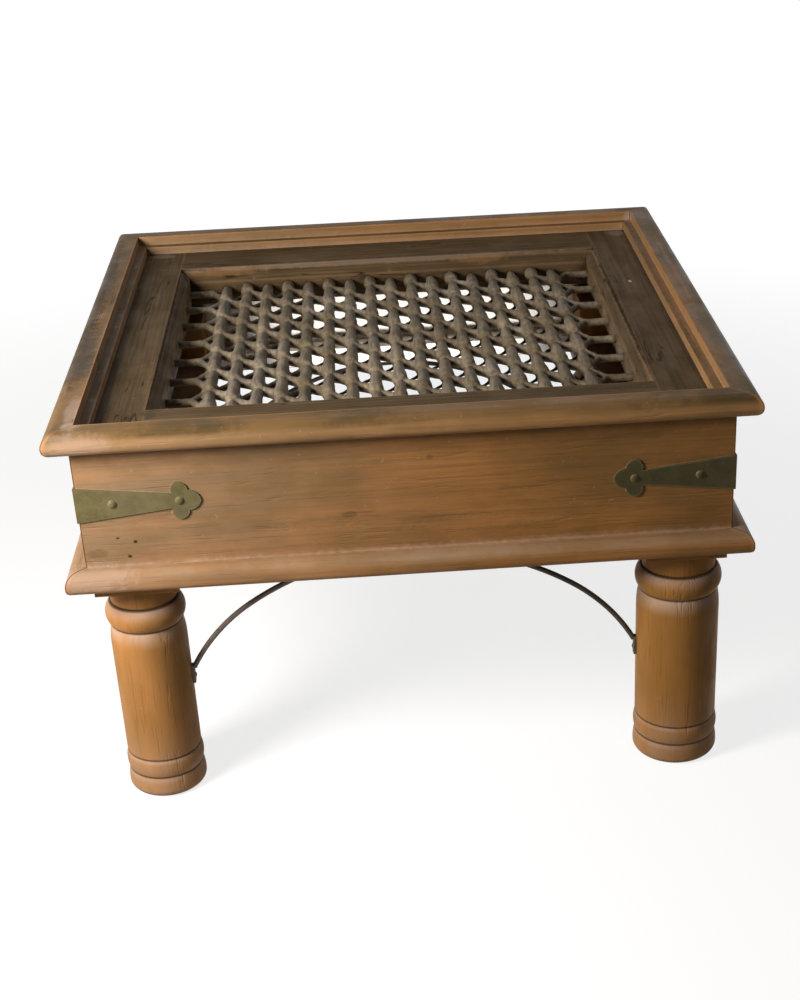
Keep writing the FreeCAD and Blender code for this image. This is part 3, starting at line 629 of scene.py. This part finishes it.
# Each mark: colour, centre, half sizes and strength
APRON_MARKS = (
    (HOLE, (-0.309, FRONT, 0.336), (0.0022, 0.004, 0.0017), 0.9),
    (HOLE, (-0.291, FRONT, 0.331), (0.0022, 0.004, 0.0018), 0.9),
    (HOLE, (-0.299, FRONT, 0.314), (0.0024, 0.004, 0.0018), 0.9),
    (SCAR, (-0.332, FRONT, 0.319), (0.0120, 0.006, 0.0060), 0.35),
    (SCAR, (-0.064, FRONT, 0.347), (0.0080, 0.006, 0.0040), 0.40),
    (SCAR, (0.0244, FRONT, 0.4076), (0.0040, 0.006, 0.0030), 0.40),
    (SCAR, (0.257, FRONT, 0.4170), (0.0150, 0.006, 0.0045), 0.22),
    (RUBBED, (0.075, FRONT, 0.330), (0.0950, 0.010, 0.0080), 0.20),
    (RUBBED, (-0.095, FRONT, 0.338), (0.0450, 0.010, 0.0060), 0.20),
    (RUBBED, (-0.250, FRONT, 0.352), (0.0500, 0.010, 0.0050), 0.15),
    (PALE_DUST, (-0.340, -0.362, 0.298), (0.0500, 0.024, 0.016), 0.25),
)
RIM_MARKS = (
    (PALE_DUST, (-0.345, -0.300, 0.463), (0.0080, 0.045, 0.006), 0.28),
    (PALE_DUST, (-0.342, -0.342, 0.463), (0.0120, 0.012, 0.006), 0.30),
    (PALE_DUST, (0.338, 0.336, 0.456), (0.0120, 0.012, 0.008), 0.50),
    (RUBBED, (0.352, 0.060, 0.463), (0.0030, 0.150, 0.004), 0.45),
    (RUBBED, (-0.352, 0.010, 0.463), (0.0060, 0.120, 0.004), 0.30),
    (RUBBED, (0.340, -0.050, 0.456), (0.0100, 0.280, 0.012), 0.55),
    (GRIME, (-0.361, 0.120, 0.460), (0.0140, 0.240, 0.010), 0.70),
    (GRIME, (-0.357, -0.120, 0.460), (0.0180, 0.140, 0.010), 0.70),
    (PALE_DUST, (-0.335, -0.368, 0.450), (0.0350, 0.016, 0.016), 0.22),
)
WINDOW_MARKS = (
    (PALE_DUST, (0.315, 0.315, 0.441), (0.0140, 0.016, 0.006), 0.32),
    (PALE_DUST, (-0.305, 0.316, 0.441), (0.0200, 0.010, 0.006), 0.30),
    (CHIP, (0.302, 0.098, 0.441), (0.0022, 0.006, 0.003), 0.90),
    (RUBBED, (-0.215, 0.247, 0.436), (0.0500, 0.008, 0.006), 0.40),
    (RUBBED, (0.120, 0.247, 0.436), (0.0400, 0.008, 0.006), 0.40),
    (GRIME, (-0.270, -0.262, 0.441), (0.0100, 0.020, 0.008), 0.50),
    (GRIME, (0.268, 0.000, 0.436), (0.0090, 0.260, 0.014), 0.35),
    # Painted highlight: a pale strip along the back bead's top edge, where the edge catches the light.
    (PAINTED_HIGHLIGHT, (-0.020, 0.2515, 0.440), (0.2700, 0.005, 0.006), 0.60),
    (HOLE, (0.2755, 0.000, 0.441), (0.0018, 0.252, 0.008), 0.90),
    (HOLE, (-0.2755, 0.000, 0.441), (0.0018, 0.252, 0.008), 0.70),
)
print("marks:", len(APRON_MARKS + RIM_MARKS + WINDOW_MARKS))

# %% The woods of this table
BOARD_WOODS = {
    "apron_wood": dict(
        bare=(0.38, 0.165, 0.048, 1), body=(0.235, 0.105, 0.031, 1), stain=(0.11, 0.066, 0.021, 1),
        film=(0.20, 0.12, 0.058, 1), dust=(0.47, 0.345, 0.24, 1), stain_share=0.65, corner_dust_and_shade=0.7,
        top_dust=0.35, sheen_left=0.30, raw_inside="X", mitre=0.8, marks=APRON_MARKS),
    "rim_wood": dict(
        bare=(0.50, 0.255, 0.105, 1), body=(0.31, 0.165, 0.060, 1), stain=(0.14, 0.09, 0.034, 1),
        film=(0.062, 0.042, 0.018, 1), dust=(0.50, 0.39, 0.30, 1), stain_share=0.6, film_share=0.92,
        edge_wear_and_highlight=0.55, corner_dust_and_shade=0.3, sheen_left=0.16, rough=0.42, shine=0.06, mitre=0.6, marks=RIM_MARKS),
    "window_wood": dict(
        bare=(0.21, 0.132, 0.070, 1), body=(0.13, 0.083, 0.042, 1), stain=(0.05, 0.034, 0.017, 1),
        film=(0.115, 0.077, 0.038, 1), dust=(0.30, 0.23, 0.17, 1), edge_wear_and_highlight=0.75, corner_dust_and_shade=0.0, grime_and_shade=0.85,
        cracks=0.85, fibres=0.6, rough=0.55, shine=0.03, marks=WINDOW_MARKS),
}
# Each groove: its height, how far down the dust under it reaches, and how thick it lies
LEG_GROOVES = ((0.242, 0.016, 0.55), (0.2145, 0.022, 0.75), (0.050, 0.010, 0.60), (0.027, 0.016, 0.55))
LEG_WOOD = dict(
    bare=(0.48, 0.205, 0.050, 1), body=(0.36, 0.155, 0.036, 1), stain=(0.20, 0.105, 0.024, 1),
    film=(0.40, 0.23, 0.13, 1), dust=(0.52, 0.37, 0.29, 1), corner_dust_and_shade=0.0, corner_reach=0.012,
    top_dust=0.75, sheen_left=0.05, fibres=0.12, scratches=0.1, grime_and_shade=0.6, floor_dust=0.28, grooves=LEG_GROOVES)
# The carving's dust colour is near black, so in its corners it paints shade, not dust, and its low strands
# are painted darker below a height as shade.
LATTICE_WOOD = dict(
    bare=(0.33, 0.26, 0.17, 1), body=(0.18, 0.135, 0.078, 1), stain=(0.06, 0.046, 0.028, 1),
    film=(0.35, 0.298, 0.24, 1), dust=(0.022, 0.016, 0.011, 1), corner_dust_and_shade=0.9, corner_reach=0.014,
    edge_wear_and_highlight=0.5, film_share=0.75, film_low=0.2, mottled=0.45, fibres=0.55, scratches=0.0, rough=0.6,
    shine=0.08, depth_shade=(0.4045, 0.4140))
FIRST_SEED, NEXT_WOOD, NEXT_AXIS = 1.3, 2.4, 1.1
LEG_SEED, LATTICE_SEED = 7.7, 8.3

woods = {}
for order, (name, recipe) in enumerate(BOARD_WOODS.items()):
    for turn, axis in enumerate("XY"):
        seed = FIRST_SEED + NEXT_WOOD * order + NEXT_AXIS * turn
        woods[name, axis] = old_wood(f"{name}_{axis.lower()}", axis, seed, **recipe)
leg_wood = old_wood("leg_wood", "Z", LEG_SEED, **LEG_WOOD)
lattice_wood = old_wood("lattice_wood", "Y", LATTICE_SEED, **LATTICE_WOOD)
print("woods:", [material.name for material in bpy.data.materials if "wood" in material.name])

# %% [markdown]
# ## The metals
# The straps are brass that has gone dull and olive green, and the rods are forged iron with a brown skin.
# A bare metal shader would shine like new. So both are mottled: a paler and a darker tone mixed by fine
# noise, rubbed brighter along the edges, with the same noise as roughness and relief. On the right, away
# from the light, the metal is painted darker as shade.

# %% Metals
METAL_REACHES = {"Edge reach": 0.002, "Corner reach": 0.01}
TARNISH_SCALE, TARNISH_STEP, TARNISH_SHARE = 60.0, (0.35, 0.65), 0.6
SPECK_SCALE, SPECK_STEP, SPECK_SHARE = 420.0, (0.56, 0.68), 0.3
# Painted shade towards the right: its colour and strength, and where it starts and where it is full
METAL_SHADE, METAL_SHADE_SHARE = (0.035, 0.027, 0.013, 1), 0.75
SHADE_FROM, SHADE_TO = -0.1, 0.25
RUBBED_SHARE, DUST_SHARE = 0.6, 0.25
ROUGH_STEP, ROUGH_SPREAD = (0.3, 0.7), 0.2
METAL_SHINE = 0.1
METAL_RELIEF = (0.3, 0.0004)
METALS = {
    "old_brass": dict(
        base=(0.145, 0.12, 0.052, 1), tarnish=(0.075, 0.066, 0.026, 1), dust=(0.20, 0.175, 0.12, 1),
        metallic=0.12, rough=0.5),
    "old_iron": dict(
        base=(0.20, 0.155, 0.13, 1), tarnish=(0.10, 0.075, 0.062, 1), dust=(0.26, 0.22, 0.19, 1),
        metallic=0.2, rough=0.45),
    "old_steel": dict(
        base=(0.16, 0.14, 0.12, 1), tarnish=(0.09, 0.07, 0.055, 1), dust=(0.22, 0.18, 0.15, 1),
        metallic=0.6, rough=0.5),
}


def old_metal(name, base, tarnish, dust, metallic, rough):
    """Dull metal with darker tarnish, paler rubbed edges, a little dust and painted shade on the right:
    returns the material.
    """
    material, tree, shader, place = new_material(name)
    age = use_group(tree, wear_and_dust, Vector=place, **METAL_REACHES)
    mottle = cloud(tree, place, scale=TARNISH_SCALE, detail=6.0, rough=0.65)
    speck = level(tree, cloud(tree, place, scale=SPECK_SCALE, detail=3.0), *SPECK_STEP)
    shaded_right = level(tree, axes_of(tree, place)["X"], SHADE_FROM, SHADE_TO)
    dusty = sums(tree, "MAXIMUM", age["Scratch"], age["Patch"])
    colour = paint(tree, base, tarnish, level(tree, mottle, *TARNISH_STEP), TARNISH_SHARE)
    colour = paint(tree, colour, tarnish, speck, SPECK_SHARE)
    # Painted shade: the metal is painted darker towards the right, away from the lamp.
    colour = paint(tree, colour, METAL_SHADE, shaded_right, METAL_SHADE_SHARE)
    colour = paint(tree, colour, base, age["Edge"], RUBBED_SHARE)
    colour = paint(tree, colour, dust, dusty, DUST_SHARE)
    feed(tree, shader.inputs["Base Color"], colour)
    feed(tree, shader.inputs["Roughness"], level(tree, mottle, *ROUGH_STEP, rough, rough + ROUGH_SPREAD))
    shader.inputs["Metallic"].default_value = metallic
    shader.inputs["Specular IOR Level"].default_value = METAL_SHINE
    relief(tree, shader, sums(tree, "SUBTRACT", mottle, speck), *METAL_RELIEF)
    return material


brass, iron, steel = (old_metal(name, **recipe) for name, recipe in METALS.items())
print("metals:", brass.name, iron.name, steel.name)

# %% [markdown]
# ## Pieces that keep their shape
# Rods, nails, screws, pegs and the blocks and strips inside the box need no change of shape. They could be
# copied and worn like the boards below, but it would hardly show, so they only get a finish.

# %% Finishes for the pieces that keep their shape
FINISHES = (
    ("cleat_front cleat_back", woods["window_wood", "X"]),
    ("cleat_left cleat_right", woods["window_wood", "Y"]),
    ("corner_block frame_pegs", leg_wood),
    ("bow_front bow_back bow_left bow_right", iron),
    ("strap_nails", brass),
    ("moulding_nails base_screws cleat_screws bead_pins bow_nails", steel),
)
for names, material in FINISHES:
    finished = [node for node in frame["nodes"] if node.startswith(tuple(names.split()))]
    for node in finished:
        mesh = frame["nodes"][node].data
        mesh.materials.clear()
        mesh.materials.append(material)
    print(material.name, "on", len(finished), "nodes")

# %% [markdown]
# ## Boards with worn edges
# No edge on an old table is sharp. A material can fake a round edge, but its outline stays sharp, so the
# shape itself is worn. Each visible board is copied from the measured model, its loose triangles are merged
# back into whole faces, and a small bevel takes the edges off. Where two boards meet, the two bevels leave
# the fine groove that shows a real joint.


# %% Helpers for pieces
def pick(thing):
    """Makes one object the only selected and active one."""
    bpy.ops.object.select_all(action="DESELECT")
    thing.select_set(True)
    bpy.context.view_layer.objects.active = thing


def apply_modifier(thing, name, kind, **settings):
    """Adds a modifier and applies it at once."""
    modifier = thing.modifiers.new(name, kind)
    for label, value in settings.items():
        setattr(modifier, label, value)
    pick(thing)
    bpy.ops.object.modifier_apply(modifier=modifier.name)


def settle(piece, name, slot, *nodes):
    """Names a finished piece and lets it stand for the nodes."""
    piece.name = name
    piece.data.name = name
    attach(piece, "root")
    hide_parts(*nodes)


# %% Worn copies of the boards
MERGE = 0.00002
FLAT = math.radians(0.5)
SHARP = math.radians(40)
SMOOTH = math.radians(32)
LEG_WEAR, STRAP_WEAR = 0.0009, 0.0004


def worn_copy(node, width, slot, material):
    """A merged copy of a node with its edges taken off."""
    pick(frame["nodes"][node])
    bpy.ops.object.duplicate()
    piece = bpy.context.object
    # The copy is a new piece, so it drops what marks a measured node
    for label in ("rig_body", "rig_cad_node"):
        del piece[label]
    piece.parent = None
    bpy.ops.object.mode_set(mode="EDIT")
    bpy.ops.mesh.select_all(action="SELECT")
    bpy.ops.mesh.customdata_custom_splitnormals_clear()
    bpy.ops.mesh.remove_doubles(threshold=MERGE)
    bpy.ops.mesh.dissolve_limited(angle_limit=FLAT)
    bpy.ops.mesh.normals_make_consistent(inside=False)
    bpy.ops.object.mode_set(mode="OBJECT")
    apply_modifier(piece, "worn edge", "BEVEL", width=width, segments=2, limit_method="ANGLE",
                   angle_limit=SHARP, use_clamp_overlap=True)
    pick(piece)
    bpy.ops.object.shade_smooth_by_angle(angle=SMOOTH)
    apply_modifier(piece, "even light", "WEIGHTED_NORMAL", keep_sharp=True)
    piece.data.materials.clear()
    piece.data.materials.append(material)
    settle(piece, "worn_" + node, slot, node)
    return piece


SIDES_X = ("front", "back")
SIDES_Y = ("left", "right")
# Each board: name, width of the bevel, wood, and its sides with the grain along X and along Y
WORN = (
    ("top_moulding", 0.0012, "rim_wood", SIDES_X, SIDES_Y),
    ("apron", 0.0010, "apron_wood", SIDES_X, SIDES_Y),
    ("base_frame", 0.0012, "apron_wood", SIDES_X, SIDES_Y),
    ("lattice_bead", 0.0014, "window_wood", SIDES_X, SIDES_Y),
    ("window_rail", 0.0013, "window_wood", SIDES_X, ()),
    ("window_stile", 0.0013, "window_wood", (), SIDES_Y),
)
worn = []
for name, width, wood, *sides_by_axis in WORN:
    for axis, sides in zip("XY", sides_by_axis):
        for side in sides:
            worn.append(worn_copy(f"{name}_{side}", width, "frame_wood", woods[wood, axis]))
for end in SIDES_X:
    for side in SIDES_Y:
        worn.append(worn_copy(f"leg_{end}_{side}", LEG_WEAR, "leg_wood", leg_wood))
        worn.append(worn_copy(f"corner_strap_{end}_{side}", STRAP_WEAR, "brass", brass))
print("worn pieces:", len(worn))

# %% [markdown]
# ## Light in the box
# The pale floor throws light up into the open box, which shows as bright wood through the holes of the
# lattice. A brighter floor would light the legs too, so a soft spot lamp under the box does the same. It is
# linked to the boards at the back, so that it lights their inner faces and nothing else.

# %% Light from the floor into the box
BOX_LAMP = (0.02, -0.12, 0.15)
BOX_AIM = (0.02, 0.328, 0.335)
BOX_CONE, BOX_BLEND = math.radians(50), 0.4
BOX_SOFTNESS = 0.03
BOX_POWER = 13.0
INNER_BOARDS = ("worn_apron_back", "worn_base_frame_back")

lamp_data = bpy.data.lights.new("box_light", "SPOT")
lamp_data.spot_size = BOX_CONE
lamp_data.spot_blend = BOX_BLEND
lamp_data.shadow_soft_size = BOX_SOFTNESS
lamp_data.energy = BOX_POWER
lamp = hang(lamp_data, BOX_LAMP, BOX_AIM)
lit_inside = bpy.data.collections.new("lit_inside")
for board in INNER_BOARDS:
    lit_inside.objects.link(bpy.data.objects[board])
lamp.light_linking.receiver_collection = lit_inside
print("box_light at", BOX_LAMP, "on", INNER_BOARDS)

# %% [markdown]
# ## The carved lattice
# The lattice is carved from one board to look woven. Strands run from front to back as strings of long
# beads, each with a knob at its front end that overlaps the next bead like a shingle. The strings are
# slimmer on the left and fuller on the right. Slanted strands rise from under one string into the knobs of
# the next, a lower layer slants the other way, and forked stubs reach the side walls. All this could be
# sculpted, but it repeats, so a few strands are drawn, repeated with arrays and melted together.

# %% Sizes of the carving
# The strings are numbered from -8 to 8, and the odd ones have their nodes half a step aside
LAST_BAR = 8
BAR_PITCH = 0.0271
ROWS = 7
NODE_STEP = 0.065
EVEN_FRONT_NODE = -3.0 * NODE_STEP
ODD_FRONT_NODE = -3.5 * NODE_STEP
BORDER_WIDTH = 0.011
board_low, board_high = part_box("jali_lattice")
wall_x, wall_y = board_high.x - BORDER_WIDTH, board_high.y - BORDER_WIDTH
BEAD_LEVEL = board_high.z - 0.0093
RISING_LEVEL = board_low.z + 0.0064
FORK_LEVEL = board_low.z + 0.0095
print("carving between", tuple(board_low), "and", tuple(board_high))


# %% How a strand is drawn, placed and repeated
def drawn_out(name, sides, radius, steps):
    """A disc at the origin extruded along Y: each step is a distance and the width there, as a share."""
    bpy.ops.object.select_all(action="DESELECT")
    bpy.ops.mesh.primitive_circle_add(vertices=sides, radius=radius * steps[0][1], fill_type="NGON",
                                      rotation=(math.pi / 2, 0, 0))
    strand = bpy.context.object
    strand.name = name
    bpy.ops.object.transform_apply(location=True, rotation=True, scale=True)
    bpy.ops.object.mode_set(mode="EDIT")
    bpy.ops.mesh.select_all(action="SELECT")
    for (near, narrow), (far, wide) in zip(steps, steps[1:]):
        bpy.ops.mesh.extrude_region_move(TRANSFORM_OT_translate={"value": (0, far - near, 0)})
        share = wide / narrow
        bpy.ops.transform.resize(value=(share, 1, share), center_override=(0, far, 0))
    bpy.ops.mesh.select_all(action="SELECT")
    bpy.ops.mesh.normals_make_consistent(inside=False)
    bpy.ops.object.mode_set(mode="OBJECT")
    return strand


def put(strand, place, turn=0.0, tilt=0.0):
    """Tilts a strand's far end up, turns it about the upright axis and moves it."""
    pick(strand)
    strand.rotation_euler = (tilt, 0, turn)
    strand.location = place
    bpy.ops.object.transform_apply(location=True, rotation=True, scale=True)


def repeat(strand, columns, rows):
    """Copies a strand to every second string across the table and to every node along it."""
    for label, count, shift in (
            ("across", columns, (2 * BAR_PITCH, 0, 0)),
            ("along", rows, (0, NODE_STEP, 0))):
        apply_modifier(strand, label, "ARRAY", count=count, use_relative_offset=False,
                       use_constant_offset=True, constant_offset_displace=shift)


# %% [markdown]
# A bead is a disc drawn out along its length, wide at the knob and narrow at the tail. A curve with a round
# bevel would also make a strand, but the steps of an extrusion set the width at every place. Each bead dips
# a little towards the back, so that its tail goes under the next knob.

# %% Beads in strings
KNOB_REACH = 0.011
BEAD_RADIUS, BEAD_SIDES = 0.0078, 12
SLIM_BEAD = (
    (0.0, 0.70), (0.001, 0.96), (0.004, 1.08), (0.010, 1.11), (0.019, 1.06), (0.031, 0.99), (0.050, 0.91),
    (0.066, 0.74),
)
FULL_BEAD = (
    (0.0, 0.70), (0.001, 1.00), (0.004, 1.16), (0.010, 1.19), (0.019, 1.12), (0.031, 1.00), (0.050, 0.86),
    (0.066, 0.66),
)
BEAD_TILT = -0.060
# The odd strings end at the back wall in a bead that is cut short after this many steps
CUT_STEPS = 6
# Each half: its first even string and how many, its first odd string and how many, and its bead
HALVES = ((-LAST_BAR, 4, 1 - LAST_BAR, 4, SLIM_BEAD), (0, 5, 1, 4, FULL_BEAD))
TAIL_STEPS, TAIL_SIDES = ((0.0, 1.0), (0.018, 0.95), (0.034, 0.85)), 10
TAIL_INSET, TAIL_DROP = 0.001, 0.003

strands = []
for even, even_columns, odd, odd_columns, whole in HALVES:
    for bar, node, columns, rows, steps in (
            (even, EVEN_FRONT_NODE, even_columns, ROWS, whole),
            (odd, ODD_FRONT_NODE, odd_columns, ROWS, whole),
            (odd, ODD_FRONT_NODE + ROWS * NODE_STEP, odd_columns, 1, whole[:CUT_STEPS])):
        bead = drawn_out("bead", BEAD_SIDES, BEAD_RADIUS, steps)
        put(bead, (bar * BAR_PITCH, node - KNOB_REACH, BEAD_LEVEL), tilt=BEAD_TILT)
        repeat(bead, columns, rows)
        strands.append(bead)
tail = drawn_out("tail", TAIL_SIDES, BEAD_RADIUS, TAIL_STEPS)
put(tail, (-LAST_BAR * BAR_PITCH, -wall_y - TAIL_INSET, BEAD_LEVEL - TAIL_DROP))
repeat(tail, LAST_BAR + 1, 1)
strands.append(tail)
print("strings in", len(strands), "sets")

# %% [markdown]
# The slanted strands link the strings. Each is tilted, so that it comes up from under one string to the
# next. The low layer is thick on the left and thin on the right. At the sides, two tines and a stub make a
# fork, as if the weave went on into the frame.

# %% Slanted strands and stubs
SLANT_RADIUS, SLANT_SIDES = 0.0064, 10
SLANT_LENGTH = math.hypot(BAR_PITCH, NODE_STEP / 2)
SLANT_TURN = math.atan2(BAR_PITCH, NODE_STEP / 2)
RISING_TILT = 0.12
RISING_STEPS = ((0.0, 1.05), (SLANT_LENGTH * 0.4, 0.95), (SLANT_LENGTH * 0.7, 0.97), (SLANT_LENGTH, 1.10))
LOW_STEPS = ((0.0, 1.05), (SLANT_LENGTH * 0.35, 0.9), (SLANT_LENGTH * 0.65, 0.9), (SLANT_LENGTH, 1.05))
LOW_SIDES = 8
# Each set of the low layer: its first string, how many columns, and the radius
LOW_SETS = ((-LAST_BAR, 2, 0.0048), (-4, 6, 0.0024))
FORK_RADIUS, FORK_SIDES = 0.0050, 10
FORK_SPAN = 0.68 * BAR_PITCH
FORK_LENGTH = math.hypot(FORK_SPAN, NODE_STEP / 2)
FORK_TURN = math.atan2(FORK_SPAN, NODE_STEP / 2)
TINE_STEPS = ((0.0, 0.92), (FORK_LENGTH * 0.5, 0.80), (FORK_LENGTH, 1.0))
STUB_STEPS = ((0.0, 1.0), (0.012, 0.90), (0.0335, 1.05))

for bar, node in ((-LAST_BAR, EVEN_FRONT_NODE), (1 - LAST_BAR, ODD_FRONT_NODE + NODE_STEP)):
    rising = drawn_out("rising", SLANT_SIDES, SLANT_RADIUS, RISING_STEPS)
    put(rising, (bar * BAR_PITCH, node, RISING_LEVEL), SLANT_TURN - math.pi, RISING_TILT)
    repeat(rising, LAST_BAR, ROWS)
    strands.append(rising)
for first, columns, radius in LOW_SETS:
    for bar, node in ((first, EVEN_FRONT_NODE), (first + 1, ODD_FRONT_NODE)):
        low = drawn_out("low", LOW_SIDES, radius, LOW_STEPS)
        put(low, (bar * BAR_PITCH, node, board_low.z + radius), -SLANT_TURN)
        repeat(low, columns, ROWS)
        strands.append(low)
for hand in (-1, 1):
    fork_x = hand * (LAST_BAR * BAR_PITCH + FORK_SPAN)
    for name, node, rows, steps, turn in (
            ("stub", ODD_FRONT_NODE, ROWS + 1, STUB_STEPS, -hand * math.pi / 2),
            ("tine", ODD_FRONT_NODE, ROWS, TINE_STEPS, hand * FORK_TURN),
            ("tine", ODD_FRONT_NODE + NODE_STEP, ROWS, TINE_STEPS, hand * (math.pi - FORK_TURN))):
        strand = drawn_out(name, FORK_SIDES, FORK_RADIUS, steps)
        put(strand, (fork_x, node, FORK_LEVEL), turn)
        repeat(strand, 1, rows)
        strands.append(strand)
print("strands in", len(strands), "sets")

# %% [markdown]
# A carved board has no seams where its strands meet. Joining hundreds of strands with booleans is slow and
# breaks easily, so a voxel remesh makes one skin of them. A smooth rubs off the steps of the voxels, a fine
# noise leaves marks as of a chisel, and a broad one lets the strands wander as the carver's hand did.

# %% Melt them into one board
CARVING_VOXEL = 0.0014
CARVING_FACES = 185000
RUB = 0.5
CHISEL_GRAIN, CHISEL_DEPTH, CHISEL_MID = 0.012, 0.0013, 0.6
WOBBLE_GRAIN, WOBBLE_DEPTH, WOBBLE_MID = 0.045, 0.0035, 0.5


def push_by_noise(thing, name, grain, **settings):
    """Moves a mesh in and out by cloudy noise."""
    clouds = bpy.data.textures.new(name, "CLOUDS")
    clouds.noise_scale = grain
    apply_modifier(thing, name, "DISPLACE", texture=clouds, **settings)


lattice = strands[0]
pick(lattice)
for strand in strands:
    strand.select_set(True)
bpy.ops.object.join()
apply_modifier(lattice, "melt", "REMESH", mode="VOXEL", voxel_size=CARVING_VOXEL)
apply_modifier(lattice, "rub", "SMOOTH", factor=RUB, iterations=1)
push_by_noise(lattice, "chisel", CHISEL_GRAIN, strength=CHISEL_DEPTH, mid_level=CHISEL_MID)
push_by_noise(lattice, "wobble", WOBBLE_GRAIN, strength=WOBBLE_DEPTH, mid_level=WOBBLE_MID, direction="X")
triangles = sum(len(face.vertices) - 2 for face in lattice.data.polygons)
apply_modifier(lattice, "thin", "DECIMATE", ratio=min(1.0, CARVING_FACES / triangles))
lattice.data.materials.append(lattice_wood)
print("carving:", triangles, "triangles, thinned to", len(lattice.data.polygons))

# %% Delete the tiny bubbles that the melting leaves inside the wood
bpy.ops.object.mode_set(mode="EDIT")
bpy.ops.mesh.select_all(action="DESELECT")
bpy.ops.object.mode_set(mode="OBJECT")
highest = max(lattice.data.vertices, key=lambda vertex: vertex.co.z)
highest.select = True
bpy.ops.object.mode_set(mode="EDIT")
bpy.ops.mesh.select_linked()
bpy.ops.mesh.select_all(action="INVERT")
bpy.ops.mesh.delete(type="VERT")
bpy.ops.object.mode_set(mode="OBJECT")
print("carving without bubbles:", len(lattice.data.polygons), "faces")

# %% [markdown]
# A carved board usually ends in a plain border, which the strips round the window cover. It could be cut
# from a board with a hole, but four boxes give the same, and they join the carving as one piece.

# %% The board's border
CARVING_SMOOTH = math.radians(60)

middle, thick = (board_low.z + board_high.z) / 2, board_high.z - board_low.z
reach_x, reach_y = wall_x + BORDER_WIDTH / 2, wall_y + BORDER_WIDTH / 2
border = []
for hand in (-1, 1):
    for x, y, length, width in (
            (0, hand * reach_y, 2 * board_high.x, BORDER_WIDTH),
            (hand * reach_x, 0, BORDER_WIDTH, 2 * wall_y)):
        bpy.ops.object.select_all(action="DESELECT")
        bpy.ops.mesh.primitive_cube_add(size=1, location=(x, y, middle), scale=(length, width, thick))
        bpy.ops.object.transform_apply(location=True, rotation=True, scale=True)
        strip = bpy.context.object
        # The border takes the darker window wood: its faces along the walls are painted dark as shade.
        strip.data.materials.append(woods["window_wood", "X"])
        border.append(strip)
pick(lattice)
for strip in border:
    strip.select_set(True)
bpy.ops.object.join()
bpy.ops.object.shade_smooth_by_angle(angle=CARVING_SMOOTH)
settle(lattice, "carved_lattice", "lattice_wood", "jali_lattice")
print("carved lattice:", len(lattice.data.polygons), "faces")
